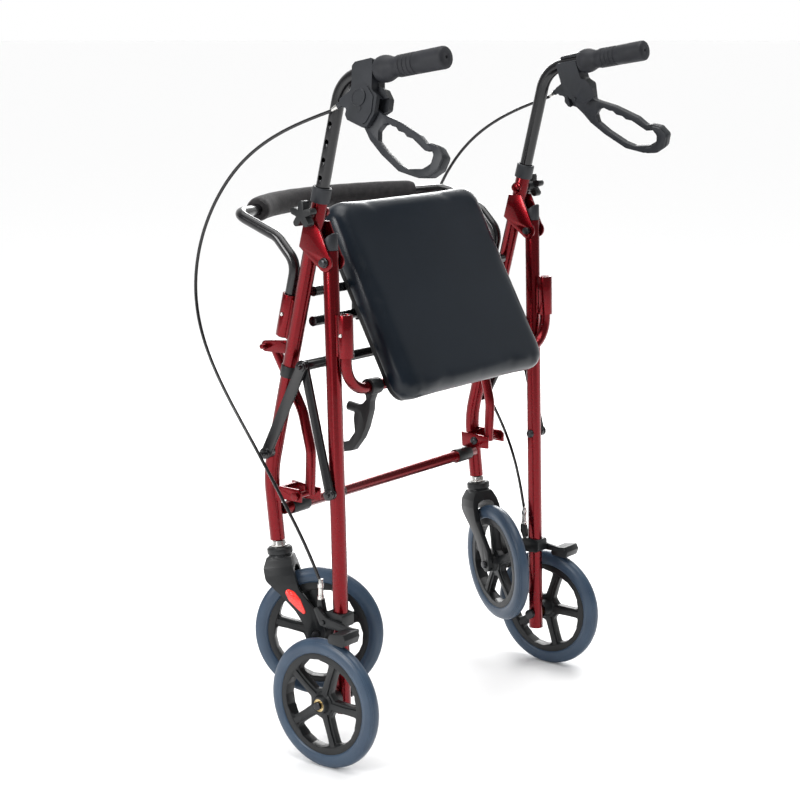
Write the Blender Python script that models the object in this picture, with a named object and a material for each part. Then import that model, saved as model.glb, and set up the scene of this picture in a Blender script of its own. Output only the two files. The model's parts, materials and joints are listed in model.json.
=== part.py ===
"""Folding four-wheel walker (rollator): two-piece folding frame, seat, backrest, brakes and casters.

Units in the tables below are millimetres; finished meshes are written in metres, +Z up, +Y forward.
"""
import math

import bmesh
import bpy
from mathutils import Matrix, Vector

MM = 0.001

# ---------------------------------------------------------------- driving dimensions (mm)
CENTRE_Y = 33.2           # forward offset of the bounding-box centre from the rear axle line
FLOOR_Z = 0.81            # flat of the faceted tyre tread that stands on the floor
SIDE_X = 247.0            # centre plane of the front and rear legs, either side of the middle
FRAME_R = 11.1            # 7/8 inch frame tube
HANDLE_R = 9.5            # telescoping handle tube
HOLE_PITCH = 25.4         # spacing of its height holes
LEG_BORE_R = 10.1         # bore of the front leg where the handle tube slides
BAR_R = 8.0               # backrest bar and seat bar
FRONT_TOP = (31.2, 811.0)         # (y, z) top of the front leg
FRONT_BEND = (130.4, 405.4)       # corner of the front leg's bend
FRONT_BOTTOM = (118.9, 307.5)
HINGE = (14.0, 721.5)             # fold pivot
FOLD_OPEN = 36.0          # degrees between folded and open
REAR_TOP = (14.9, 737.0)
REAR_BOTTOM = (-3.8, 70.5)
WHEEL_R = 95.0            # 7.5 inch wheel
WHEEL_SIDES = 24
WHEEL_X = 285.5
AXLE = (-1.6, 95.0)
SEAT_BAR = (-12.0, 541.0)         # cross part of the U-shaped seat bar
SEAT_LEAN = math.radians(28.5)    # flipped-up seat, from vertical
SEAT_W, SEAT_L = 352.0, 305.0
SEAT_BELOW = 38.0         # seat overhang below the seat bar
BOARD_T = 8.0
KNEE = (50.0, 574.0)
BRACE_FRONT = (119.0, 440.0)
BRACE_REAR = (5.1, 395.0)
STEM_TOP = (115.5, 296.0)         # caster swivel reference point under the front leg
STEM_LEAN = math.radians(6.8)
SOCKET_SHIFT = -2.0       # backrest socket, outboard of the leg and ahead of it
SOCKET_AHEAD = 24.0
BUTTON_Z = 636.0
EAR = (144.0, 589.0)      # bolt at the top of the inner support tube
CASTER_DROP = 128.0
CASTER_TRAIL = 46.0
CASTER_TURN = {-1: math.radians(30.0), 1: math.radians(27.0)}
GRIP_MID = (-76.5, 985.0)
GRIP_RISE = math.radians(9.6)
BRAKE_SPLAY = math.radians(14.0)

SIDES = ((-1, "left"), (1, "right"))

for stale in list(bpy.data.objects):
    bpy.data.objects.remove(stale, do_unlink=True)


# ---------------------------------------------------------------- small helpers
def make_material(name, colour, metallic, roughness):
    material = bpy.data.materials.new(name)
    material.use_nodes = True
    shader = material.node_tree.nodes["Principled BSDF"]
    shader.inputs["Base Color"].default_value = (*colour, 1.0)
    shader.inputs["Metallic"].default_value = metallic
    shader.inputs["Roughness"].default_value = roughness
    material.diffuse_color = (*colour, 1.0)
    return material


LOOKS = {
    "red": ((0.33, 0.012, 0.022), 0.6, 0.25),
    "gloss_black": ((0.012, 0.012, 0.014), 0.2, 0.25),
    "grey_plastic": ((0.06, 0.065, 0.07), 0.0, 0.55),
    "black_plastic": ((0.022, 0.022, 0.025), 0.0, 0.5),
    "tyre": ((0.10, 0.14, 0.20), 0.0, 0.6),
    "steel": ((0.6, 0.6, 0.6), 1.0, 0.3),
    "foam": ((0.05, 0.045, 0.045), 0.0, 0.8),
    "vinyl": ((0.025, 0.03, 0.035), 0.0, 0.45),
    "rubber": ((0.035, 0.036, 0.04), 0.0, 0.7),
}


def raw_object(bm, name="raw"):
    """Wrap a bmesh (millimetres, global) in an object."""
    bmesh.ops.recalc_face_normals(bm, faces=bm.faces[:])
    mesh = bpy.data.meshes.new(name)
    bm.to_mesh(mesh)
    bm.free()
    obj = bpy.data.objects.new(name, mesh)
    bpy.context.scene.collection.objects.link(obj)
    return obj


def combine(base, tool, operation):
    """Apply an exact Boolean of tool onto base and drop the tool."""
    modifier = base.modifiers.new("join", "BOOLEAN")
    modifier.operation = operation
    modifier.solver = "EXACT"
    modifier.object = tool
    graph = bpy.context.evaluated_depsgraph_get()
    result = bpy.data.meshes.new_from_object(base.evaluated_get(graph))
    base.modifiers.remove(modifier)
    old = base.data
    base.data = result
    bpy.data.meshes.remove(old)
    spare = tool.data
    bpy.data.objects.remove(tool, do_unlink=True)
    bpy.data.meshes.remove(spare)
    return base


def unite(base, *tools):
    for tool in tools:
        combine(base, tool, "UNION")
    return base


def cut(base, *tools):
    for tool in tools:
        combine(base, tool, "DIFFERENCE")
    return base


def settle(obj, name, look, origin=(0.0, 0.0, 0.0), angle=35.0):
    """Turn a raw millimetre object into a finished node with its origin on its own joint axis."""
    bm = bmesh.new()
    bm.from_mesh(obj.data)
    bmesh.ops.remove_doubles(bm, verts=bm.verts[:], dist=0.004)
    bmesh.ops.dissolve_degenerate(bm, dist=0.004, edges=bm.edges[:])
    bm.to_mesh(obj.data)
    bm.free()
    pivot = Vector(origin)
    obj.data.transform(Matrix.Scale(MM, 4) @ Matrix.Translation(-pivot))
    obj.location = (pivot - Vector((0.0, CENTRE_Y, FLOOR_Z))) * MM
    obj.name = name
    obj.data.name = name
    obj.data.materials.clear()
    obj.data.materials.append(make_material(name, *LOOKS[look]))
    obj.data.shade_smooth()
    obj.data.set_sharp_from_angle(angle=math.radians(angle))
    return obj


def fillet(points, radii, step=15.0):
    """Round the inner corners of a 3-D polyline with circular arcs."""
    points = [Vector(p) for p in points]
    path = [points[0]]
    for index in range(1, len(points) - 1):
        corner = points[index]
        before = (points[index - 1] - corner).normalized()
        after = (points[index + 1] - corner).normalized()
        half = before.angle(after) / 2.0
        turn = math.pi - 2.0 * half
        radius = radii[index - 1]
        if turn < 0.02 or radius <= 0.0:
            path.append(corner)
            continue
        reach = radius / math.tan(half)
        start = corner + before * reach
        middle = corner + (before + after).normalized() * (radius / math.sin(half))
        axis = before.cross(after).normalized()
        count = max(2, int(math.ceil(math.degrees(turn) / step)))
        for k in range(count + 1):
            spin = Matrix.Rotation(-turn * k / count, 3, axis)
            path.append(middle + spin @ (start - middle))
    path.append(points[-1])
    return path


def sweep(path, radius, sides=10):
    """Solid round bar along a polyline."""
    path = [Vector(p) for p in path]
    bm = bmesh.new()
    rings = []
    tangent = (path[1] - path[0]).normalized()
    normal = Vector((1.0, 0.0, 0.0))
    if abs(tangent.dot(normal)) > 0.9:
        normal = Vector((0.0, 0.0, 1.0))
    normal = (normal - tangent * normal.dot(tangent)).normalized()
    for index, point in enumerate(path):
        ahead = path[min(index + 1, len(path) - 1)] - point
        behind = point - path[max(index - 1, 0)]
        direction = (ahead.normalized() + behind.normalized()).normalized()
        normal = (normal - direction * normal.dot(direction)).normalized()
        side = direction.cross(normal)
        ring = []
        for k in range(sides):
            a = 2.0 * math.pi * (k + 0.5) / sides
            ring.append(bm.verts.new(point + (normal * math.cos(a) + side * math.sin(a)) * radius))
        rings.append(ring)
    for first, second in zip(rings, rings[1:]):
        for k in range(sides):
            n = (k + 1) % sides
            bm.faces.new((first[k], first[n], second[n], second[k]))
    bm.faces.new(rings[0][::-1])
    bm.faces.new(rings[-1])
    return raw_object(bm)


def lathe(profile, origin, axis, sides=12, closed=False):
    """Revolve (radius, height) pairs about an axis; closed profiles make rings and sleeves."""
    origin = Vector(origin)
    axis = Vector(axis).normalized()
    helper = Vector((0.0, 0.0, 1.0)) if abs(axis.z) < 0.9 else Vector((1.0, 0.0, 0.0))
    u = axis.cross(helper).normalized()
    v = axis.cross(u)
    bm = bmesh.new()
    rings = []
    for radius, height in profile:
        if radius < 1e-6:
            rings.append([bm.verts.new(origin + axis * height)])
            continue
        ring = []
        for k in range(sides):
            a = 2.0 * math.pi * (k + 0.5) / sides
            ring.append(bm.verts.new(origin + axis * height + (u * math.cos(a) + v * math.sin(a)) * radius))
        rings.append(ring)
    pairs = list(zip(rings, rings[1:]))
    if closed:
        pairs.append((rings[-1], rings[0]))
    for first, second in pairs:
        for k in range(sides):
            n = (k + 1) % sides
            if len(first) == 1:
                bm.faces.new((first[0], second[n], second[k]))
            elif len(second) == 1:
                bm.faces.new((first[k], first[n], second[0]))
            else:
                bm.faces.new((first[k], first[n], second[n], second[k]))
    if not closed:
        if len(rings[0]) > 1:
            bm.faces.new(rings[0][::-1])
        if len(rings[-1]) > 1:
            bm.faces.new(rings[-1])
    return raw_object(bm)


def rod(start, end, radius, sides=12):
    return sweep([start, end], radius, sides)


def prism(outline, origin, u, v, depth):
    """Extrude a flat outline, given in the (u, v) plane, by the vector depth."""
    origin, u, v, depth = Vector(origin), Vector(u), Vector(v), Vector(depth)
    bm = bmesh.new()
    low = [bm.verts.new(origin + u * a + v * b) for a, b in outline]
    high = [bm.verts.new(origin + u * a + v * b + depth) for a, b in outline]
    count = len(outline)
    bm.faces.new(low[::-1])
    bm.faces.new(high)
    for k in range(count):
        n = (k + 1) % count
        bm.faces.new((low[k], low[n], high[n], high[k]))
    return raw_object(bm)


def soften(outline, radii, steps=2):
    """Round the corners of a closed 2-D outline."""
    if not isinstance(radii, (list, tuple)):
        radii = [radii] * len(outline)
    result = []
    count = len(outline)
    for index in range(count):
        corner = Vector(outline[index])
        before = Vector(outline[index - 1]) - corner
        after = Vector(outline[(index + 1) % count]) - corner
        half = before.angle(after) / 2.0
        limit = 0.48 * min(before.length, after.length) * math.tan(half)
        radius = min(radii[index], limit)
        if radius < 0.05 or half > math.radians(88.0):
            result.append(tuple(corner))
            continue
        before.normalize()
        after.normalize()
        reach = radius / math.tan(half)
        start = corner + before * reach
        end = corner + after * reach
        middle = corner + (before + after).normalized() * (radius / math.sin(half))
        a0 = math.atan2(start.y - middle.y, start.x - middle.x)
        a1 = math.atan2(end.y - middle.y, end.x - middle.x)
        sweep_angle = (a1 - a0 + math.pi) % (2.0 * math.pi) - math.pi
        for k in range(steps + 1):
            a = a0 + sweep_angle * k / steps
            result.append((middle.x + radius * math.cos(a), middle.y + radius * math.sin(a)))
    return result


def arc(centre, radius, start, end, steps):
    """Points on an arc, degrees."""
    points = []
    for k in range(steps + 1):
        a = math.radians(start + (end - start) * k / steps)
        points.append((centre[0] + radius * math.cos(a), centre[1] + radius * math.sin(a)))
    return points


def slab(outline, x_from, x_to):
    """Side-view outline in (y, z), extruded between two x planes."""
    return prism(outline, (x_from, 0, 0), (0, 1, 0), (0, 0, 1), (x_to - x_from, 0, 0))


def bar_outline(a, b, half):
    """Side-view outline of a flat bar with round ends around the points a and b."""
    angle = math.degrees(math.atan2(b[1] - a[1], b[0] - a[0]))
    return arc(b, half, angle - 90, angle + 90, 5) + arc(a, half, angle + 90, angle + 270, 5)


def smooth_route(points, spacing):
    """Evenly spaced points on a Catmull-Rom curve through the given points."""
    points = [Vector(p) for p in points]
    ends = [2 * points[0] - points[1]] + points + [2 * points[-1] - points[-2]]
    fine = []
    for i in range(1, len(ends) - 2):
        p0, p1, p2, p3 = ends[i - 1:i + 3]
        for k in range(24):
            t = k / 24.0
            fine.append(0.5 * ((2 * p1) + (p2 - p0) * t + (2 * p0 - 5 * p1 + 4 * p2 - p3) * t * t
                               + (3 * p1 - p0 - 3 * p2 + p3) * t * t * t))
    fine.append(points[-1])
    total = sum((b - a).length for a, b in zip(fine, fine[1:]))
    count = max(2, round(total / spacing))
    route = [fine[0]]
    walked, target, index = 0.0, total / count, 0
    while len(route) < count and index < len(fine) - 1:
        step = (fine[index + 1] - fine[index]).length
        if walked + step >= target * len(route):
            share = (target * len(route) - walked) / step
            route.append(fine[index].lerp(fine[index + 1], share))
        else:
            walked += step
            index += 1
    route.append(fine[-1])
    return route


def lerp2(a, b, t):
    return (a[0] + (b[0] - a[0]) * t, a[1] + (b[1] - a[1]) * t)


def on_front_leg(z, forward=0.0):
    """(y, z) on the straight upper part of the front leg, moved forward at right angles to it."""
    t = (FRONT_TOP[1] - z) / (FRONT_TOP[1] - FRONT_BEND[1])
    y, z = lerp2(FRONT_TOP, FRONT_BEND, t)
    dy, dz = FRONT_BEND[0] - FRONT_TOP[0], FRONT_BEND[1] - FRONT_TOP[1]
    length = math.hypot(dy, dz)
    return (y - dz / length * forward, z + dy / length * forward)


def on_rear_leg(z):
    t = (REAR_TOP[1] - z) / (REAR_TOP[1] - REAR_BOTTOM[1])
    return lerp2(REAR_TOP, REAR_BOTTOM, t)


def xyz(x, yz):
    return (x, yz[0], yz[1])


# ---------------------------------------------------------------- front frame
def front_leg(side, label):
    x = side * SIDE_X
    leg = sweep(fillet([xyz(x, FRONT_TOP), xyz(x, FRONT_BEND), xyz(x, FRONT_BOTTOM)], [150.0], 8.0), FRAME_R, 12)
    # round socket and web that hold the backrest bar
    socket_x = x + side * SOCKET_SHIFT
    socket = rod(xyz(socket_x, on_front_leg(664.0, SOCKET_AHEAD)), xyz(socket_x, on_front_leg(604.0, SOCKET_AHEAD)), 11.2, 12)
    low, high = on_front_leg(598.0), on_front_leg(654.0)
    low2, high2 = on_front_leg(606.0, SOCKET_AHEAD - 2.0), on_front_leg(661.0, SOCKET_AHEAD - 2.0)
    web = slab([low, low2, high2, high], x - 4.0, x + 4.0)
    # two hinge plates with a weld pad each, carrying the fold pivot
    plate_line = arc(HINGE, 12.5, 128.0, 318.0, 5)
    plate = [(27.0, 776.0)] + plate_line + [(41.0, 726.0), (59.5, 741.0), (50.5, 776.0)]
    pad = [on_front_leg(772.0, -5.0), on_front_leg(772.0, 5.0), on_front_leg(744.0, 5.0), on_front_leg(744.0, -5.0)]
    unite(leg, slab(pad, x - 13.0, x + 13.0))
    for face in (-1, 1):
        inner = x + face * (FRAME_R + 0.4)
        unite(leg, slab(plate, inner, inner + face * 3.0))
    # forward lug for the top of the inner support tube
    lug = [(88.0, 582.0)] + arc((EAR[0], EAR[1]), 8.0, -90.0, 90.0, 4) + [(84.0, 603.0)]
    inboard = x - side * 7.0
    unite(leg, socket, web, slab(lug, inboard, inboard - side * 4.0))
    # channel at the bottom of the support tube: outer flange, inner flange and back web
    flange = [(68.5, 371.0), (68.5, 384.0), (74.0, 389.0), (126.0, 389.0), (122.0, 371.0)]
    inner_flange = [(69.0, 366.0), (69.0, 385.0), (122.0, 388.0), (120.0, 364.0)]
    unite(leg, slab(flange, x + side * 3.0, x + side * 6.0))
    unite(leg, slab(inner_flange, x - side * 36.0, x - side * 39.0))
    unite(leg, slab([(112.0, 366.0), (112.0, 387.0), (116.0, 387.0), (116.0, 366.0)], x + side * 4.0, x - side * 37.5))
    # inboard saddle and bolt head opposite the clamp knob
    saddle_at = xyz(x, on_front_leg(788.0))
    unite(leg, lathe([(0.0, -10.4), (0.0, -10.4001), (8.0, -10.4), (8.0, -13.6), (5.8, -13.6), (5.8, -18.4), (0.0, -18.4)][1:],
                     saddle_at, (side, 0, 0), 10))
    # bores: handle tube, backrest bar, caster stem, fold pivot, support-tube bolts
    cut(leg, rod(xyz(x, on_front_leg(830.0)), xyz(x, on_front_leg(486.0)), LEG_BORE_R, 10))
    cut(leg, rod(xyz(socket_x, on_front_leg(678.0, SOCKET_AHEAD)), xyz(socket_x, on_front_leg(590.0, SOCKET_AHEAD)), BAR_R + 0.5, 10))
    cut(leg, rod((x - 20.0, HINGE[0], HINGE[1]), (x + 20.0, HINGE[0], HINGE[1]), 4.4, 10))
    cut(leg, rod((x - side * 20.0, EAR[0], EAR[1]), (x, EAR[0], EAR[1]), 3.9, 10))
    cut(leg, rod((x, 77.5, 379.0), (x + side * 12.0, 77.5, 379.0), 3.4, 10))
    down = Vector((0.0, -math.sin(STEM_LEAN), -math.cos(STEM_LEAN)))
    mouth = Vector(xyz(x, STEM_TOP))
    cut(leg, rod(mouth - down * 60.0, mouth - down * 4.0, 5.6, 8))
    # cross holes: clamp knob stud, and the backrest snap button
    knob_at = xyz(0.0, on_front_leg(788.0))
    cut(leg, rod((x, knob_at[1], knob_at[2]), (x + side * 20.0, knob_at[1], knob_at[2]), 3.6, 8))
    button = Vector(xyz(socket_x, on_front_leg(BUTTON_Z, SOCKET_AHEAD)))
    cut(leg, rod(button, button + Vector((side * 24.0, 0.0, 0.0)), 3.2, 8))
    return settle(leg, "front_leg_" + label, "red")


def support_tube(side, label):
    x = side * (SIDE_X - 25.0)
    path = fillet([(x, EAR[0], EAR[1]), (x, 90.0, 497.0), (x, 75.0, 440.0), (x, 77.5, 377.0)], [60.0, 60.0], 16.0)
    tube = sweep(path, 7.6, 8)
    eye = rod((x + side * 13.5, EAR[0], EAR[1]), (x - side * 8.0, EAR[0], EAR[1]), 7.0, 10)
    foot = rod((x - side * 10.6, 77.5, 379.0), (x + side * 27.6, 77.5, 379.0), 4.0, 8)
    heads = rod((x + side * 31.5, 77.5, 379.0), (x + side * 36.0, 77.5, 379.0), 6.0, 8)
    bolt = rod((x + side * 12.0, EAR[0], EAR[1]), (x + side * 27.0, EAR[0], EAR[1]), 3.5, 8)
    tip = rod((x + side * 26.0, 77.5, 379.0), (x + side * 32.5, 77.5, 379.0), 3.0, 8)
    unite(tube, eye, foot, bolt, tip, heads)
    return settle(tube, "support_tube_" + label, "red")


def lower_cross_tube():
    y, z = 117.5, 351.0
    half = SIDE_X - FRAME_R - 0.5
    tube = rod((-half, y, z), (half, y, z), 8.6)
    for side, label in SIDES:
        unite(tube, rod((side * (SIDE_X - 62.0), y, z), (side * (SIDE_X - 26.0), y, z), 10.5))
    return settle(tube, "lower_cross_tube", "red")


def collar(side, label):
    axis = Vector(xyz(0.0, on_front_leg(700.0))) - Vector(xyz(0.0, on_front_leg(800.0)))
    base = xyz(side * SIDE_X, on_front_leg(824.0))
    profile = [(10.1, 0.0), (12.6, 0.0), (13.6, 1.5), (13.8, 21.5),
               (11.5, 21.5), (11.5, 13.2), (10.1, 13.2)]
    ring = lathe(profile, base, axis, 12, closed=True)
    return settle(ring, "handle_collar_" + label, "grey_plastic")


def hinge_bolt(side, label):
    x = side * SIDE_X
    y, z = HINGE
    profile = [(0.0, -20.5), (5.6, -20.5), (5.6, -15.0), (4.0, -15.0), (4.0, 15.0), (7.2, 15.0), (7.2, 16.6),
               (5.6, 16.6), (5.6, 20.8), (3.0, 21.6), (0.0, 21.6)]
    bolt = lathe(profile, (x, y, z), (side, 0.0, 0.0), 12)
    return settle(bolt, "hinge_bolt_" + label, "steel", (x, y, z))


BACKREST_ARCH = ((186.0, 206.0), (150.0, 226.0), (110.0, 242.0), (60.0, 254.5), (20.0, 258.5))
BACKREST_Z = 776.0


def backrest_path():
    """Centre line of the backrest bar, from the left socket over the arch to the right socket."""
    socket_x = SIDE_X + SOCKET_SHIFT
    side_line = [xyz(socket_x, on_front_leg(602.0, SOCKET_AHEAD)), xyz(socket_x, on_front_leg(708.0, SOCKET_AHEAD)), (socket_x, 114.0, 749.0),
                 (socket_x + 3.0, 188.0, 777.0), (186.0, 206.0, BACKREST_Z)]
    bent = fillet(side_line, [30.0, 30.0, 24.0], 30.0)
    right = bent + [Vector((x, y, BACKREST_Z)) for x, y in BACKREST_ARCH[1:]]
    left = [Vector((-p.x, p.y, p.z)) for p in right]
    return left + right[::-1]


def backrest_bar():
    bar = sweep(backrest_path(), BAR_R)
    for side, label in SIDES:
        hole = Vector(xyz(side * (SIDE_X + SOCKET_SHIFT), on_front_leg(BUTTON_Z, SOCKET_AHEAD)))
        cut(bar, rod(hole - Vector((side * 3.0, 0, 0)), hole + Vector((side * 12.0, 0, 0)), 3.2, 8))
    return settle(bar, "backrest_bar", "gloss_black")


def backrest_pad():
    arch = [p for p in backrest_path() if abs(p.x) < 187.0]
    pad = sweep(arch, 17.5)
    cut(pad, sweep(backrest_path(), BAR_R + 0.35))
    return settle(pad, "backrest_pad", "foam")


def snap_button(name, centre, direction, inside, outside):
    """Domed spring button standing in its hole; inside and outside are distances along direction."""
    centre, direction = Vector(centre), Vector(direction)
    profile = [(0.0, inside), (2.8, inside), (2.8, outside - 1.2), (1.8, outside - 0.2), (0.0, outside)]
    return settle(lathe(profile, centre, direction, 8), name, "steel", tuple(centre))


# ---------------------------------------------------------------- handles and brakes
def grip_frame(side):
    along = Vector((0.0, -math.cos(GRIP_RISE), math.sin(GRIP_RISE)))
    down = Vector((side * math.sin(BRAKE_SPLAY), 0.0, -math.cos(BRAKE_SPLAY)))
    down = (down - along * down.dot(along)).normalized()
    out = along.cross(down) * -side
    out = out if out.x * side > 0 else -out
    return Vector((side * SIDE_X, GRIP_MID[0], GRIP_MID[1])), along, down, out


def handle_path(side):
    """Centre line of the telescoping tube, bending back into the hand grip."""
    x = side * SIDE_X
    y, z = GRIP_MID
    rise = math.tan(GRIP_RISE)
    slope = (FRONT_BEND[0] - FRONT_TOP[0]) / (FRONT_TOP[1] - FRONT_BEND[1])
    zc = (z + rise * (y - FRONT_TOP[0] - slope * FRONT_TOP[1])) / (1.0 - rise * slope)
    yc = FRONT_TOP[0] + slope * (FRONT_TOP[1] - zc)
    end = (x, y - 98.0 * math.cos(GRIP_RISE), z + 98.0 * math.sin(GRIP_RISE))
    return fillet([xyz(x, on_front_leg(648.0)), (x, yc, zc), end], [48.0], 13.5)


def handle_tube(side, label):
    x = side * SIDE_X
    tube = sweep(handle_path(side), HANDLE_R)
    cut(tube, sweep([xyz(x, on_front_leg(640.0)), xyz(x, on_front_leg(905.0))], 7.9, 8))
    for k in range(1, 6):
        yy, zz = on_front_leg(788.0 + HOLE_PITCH * k * 0.97)
        cut(tube, rod((x, yy, zz), (x + side * 14.0, yy, zz), 3.4, 6))
    return settle(tube, "handle_tube_" + label, "gloss_black")


def grip(side, label):
    origin, along, down, out = grip_frame(side)
    profile = [(15.5, -5.0), (17.8, 0.0), (18.2, 6.0), (16.6, 14.0), (13.8, 24.0), (14.6, 36.0), (14.4, 62.0),
               (15.0, 104.0), (13.8, 108.0), (2.2, 108.5), (2.2, 99.0), (10.0, 99.0), (10.0, -5.0)]
    body = lathe(profile, origin, along, 12, closed=True)
    return settle(body, "grip_" + label, "rubber")


def brake_housing(side, label):
    origin, along, down, out = grip_frame(side)
    shell = [(-43.0, -8.0), (-38.0, -13.5), (-8.0, -14.5), (-6.6, -12.0), (-6.6, 30.0), (3.0, 37.0),
             (-1.0, 62.0), (-13.0, 77.0), (-20.0, 79.0), (-48.0, 64.0), (-52.0, 56.0), (-49.0, 47.5),
             (-58.0, 45.0), (-63.0, 38.0), (-62.0, 33.0), (-43.0, 24.0)]
    shell = soften(shell, 2.5, 1)
    inner = [(-43.0, -6.0), (-6.6, -6.0), (-5.6, 22.0), (3.0, 26.0), (11.0, 40.0), (9.0, 55.0), (-9.0, 62.0),
             (-34.0, 50.0), (-43.0, 30.0)]
    body = prism(shell, origin + out * -2.0, along, down, out * 16.0)
    back = prism(inner, origin + out * -14.0, along, down, out * 13.0)
    disc = lathe([(0.0, 0.0), (12.5, 0.0), (12.5, 2.6), (11.5, 3.2), (9.5, 2.6), (0.0, 2.6)],
                 origin + along * -27.0 + down * 36.0 + out * 12.8, out, 16)
    ferrule = rod(origin + along * -59.0 + down * 36.5 + out * 6.0, origin + along * -70.5 + down * 41.0 + out * 6.0, 4.2, 10)
    unite(body, back, disc, ferrule)
    # handle-tube bore and the slot that the brake lever swings in
    cut(body, sweep(handle_path(side), HANDLE_R + 0.4))
    slot = [(-44.0, 40.0), (12.0, 40.0), (20.0, 100.0), (-44.0, 100.0)]
    cut(body, prism(slot, origin + out * -5.6, along, down, out * 11.2))
    pivot, out = lever_pivot(side)
    unite(body, rod(pivot - out * 7.0, pivot + out * 7.0, 2.9, 10))
    return settle(body, "brake_housing_" + label, "grey_plastic", tuple(origin))


def lever_pivot(side):
    origin, along, down, out = grip_frame(side)
    return origin + along * -26.0 + down * 52.0, out


def brake_lever(side, label):
    origin, along, down, out = grip_frame(side)
    pivot, out = lever_pivot(side)
    outer = [(-34.0, 50.0), (-28.0, 44.5), (-14.0, 46.0), (6.0, 62.0), (36.0, 76.0), (70.0, 98.0), (82.0, 113.0),
             (90.0, 111.5), (104.0, 117.0), (113.0, 132.0), (105.0, 149.0), (88.0, 156.0), (64.0, 153.0),
             (36.0, 142.0), (6.0, 116.0), (-14.0, 94.0), (-22.0, 80.0), (-32.0, 66.0)]
    window = [(12.0, 74.0), (24.0, 77.5), (44.0, 90.0), (68.0, 108.0), (80.0, 120.0), (92.0, 121.0), (96.0, 128.0),
              (92.0, 138.0), (76.0, 143.5), (52.0, 141.0), (38.0, 133.0), (14.0, 112.0), (0.0, 96.0), (2.0, 80.0)]
    loop = prism(soften(outer, 5.0, 1), origin + out * -4.6, along, down, out * 9.2)
    cut(loop, prism(soften(window, 5.0, 1), origin + out * -20.0, along, down, out * 40.0))
    pad = [(89.0, 112.5), (103.0, 118.0), (112.0, 132.0), (104.0, 148.0), (88.0, 155.0), (78.0, 154.0),
           (77.0, 145.0), (93.0, 139.5), (97.0, 128.5), (93.0, 120.5)]
    unite(loop, prism(soften(pad, 3.0, 1), origin + out * -9.0, along, down, out * 18.0))
    cut(loop, rod(pivot - out * 20.0, pivot + out * 20.0, 3.4, 10))
    return settle(loop, "brake_lever_" + label, "black_plastic", tuple(pivot))


def clamp_knob(side, label):
    x = side * SIDE_X
    y, z = on_front_leg(788.0)
    lobes = []
    for k in range(5):
        a = 72.0 * k + 18.0
        tip = (math.cos(math.radians(a)) * 14.0, math.sin(math.radians(a)) * 14.0)
        lobes += arc(tip, 5.0, a - 75.0, a + 75.0, 3)
        b = math.radians(a + 36.0)
        lobes.append((math.cos(b) * 8.5, math.sin(b) * 8.5))
    star = prism(lobes, (x + side * 24.0, y, z), (0, 1, 0), (0, 0, 1), (side * 13.0, 0, 0))
    neck = lathe([(0.0, 10.0), (3.0, 10.0), (3.0, 14.0), (7.0, 14.6), (9.0, 25.0), (0.0, 25.0)], (x, y, z), (side, 0, 0), 10)
    unite(star, neck)
    return settle(star, "clamp_knob_" + label, "black_plastic", (x, y, z))


def brake_cable(side, label):
    origin, along, down, out = grip_frame(side)
    start = origin + along * -78.5 + down * 44.2 + out * 6.0
    route = [start, start + Vector((side * 1.0, 16.0, -5.0))]
    table = ((268.0, 74.0, 905.0), (270.0, 120.0, 880.0), (272.0, 168.0, 848.0), (274.0, 226.0, 768.0), (275.0, 248.0, 700.0),
             (277.0, 250.0, 650.0), (279.0, 232.0, 592.0), (282.0, 186.0, 522.0), (286.0, 125.0, 452.0), (285.0, 80.0, 388.0),
             (275.0, 56.0, 340.0), (262.0, 39.0, 298.0), (258.0, 31.0, 268.0))
    # the right cable bows forward a little more than the left one
    bow = 14.0 if side > 0 else 0.0
    for x, y, z in table:
        route.append(Vector((side * x, y + bow * max(0.0, 1.0 - abs(z - 420.0) / 110.0), z)))
    route.append(Vector((side * 257.0, 29.0, 253.0)))
    points = smooth_route(route, 27.0)
    curve = bpy.data.curves.new("brake_cable_" + label, "CURVE")
    curve.dimensions = "3D"
    curve.bevel_depth = 2.3 * MM
    curve.bevel_resolution = 1
    curve.use_fill_caps = True
    curve.resolution_u = 1
    curve.render_resolution_u = 0
    spline = curve.splines.new("POLY")
    spline.points.add(len(points) - 1)
    for target, p in zip(spline.points, points):
        target.co = (*((p - Vector((0.0, CENTRE_Y, FLOOR_Z))) * MM), 1.0)
    obj = bpy.data.objects.new("brake_cable_" + label, curve)
    bpy.context.scene.collection.objects.link(obj)
    curve.materials.append(make_material("brake_cable_" + label, *LOOKS["gloss_black"]))
    return obj


# ---------------------------------------------------------------- rear frame
def rear_leg(side, label):
    x = side * SIDE_X
    leg = rod(xyz(x, REAR_TOP), xyz(x, REAR_BOTTOM), FRAME_R, 12)
    top, bottom = on_rear_leg(650.0), on_rear_leg(590.0)
    socket = rod((x, top[0] - 23.0, 650.0), (x, bottom[0] - 23.0, 590.0), FRAME_R, 12)
    web = slab([(top[0], 649.0), (bottom[0], 591.0), (bottom[0] - 23.0, 591.0), (top[0] - 23.0, 649.0)], x - 5.0, x + 5.0)
    unite(leg, socket, web)
    cut(leg, rod((x, top[0] - 22.7, 660.0), (x, bottom[0] - 23.3, 580.0), BAR_R + 0.5))
    # the pivot bolt passes straight through
    cut(leg, rod((x - 16.0, HINGE[0], HINGE[1]), (x + 16.0, HINGE[0], HINGE[1]), 4.4, 10))
    cut(leg, rod((x - 20.0, AXLE[0], AXLE[1]), (x + 20.0, AXLE[0], AXLE[1]), 4.4, 10))
    hole = Vector((x, on_rear_leg(622.0)[0] - 23.0, 622.0))
    cut(leg, rod(hole, hole + Vector((side * 24.0, 0, 0)), 3.2, 8))
    # open bottom end
    cut(leg, rod(xyz(x, REAR_BOTTOM), xyz(x, on_rear_leg(82.0)), 9.6, 12))
    return settle(leg, "rear_leg_" + label, "red", (x, HINGE[0], HINGE[1]))


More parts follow.
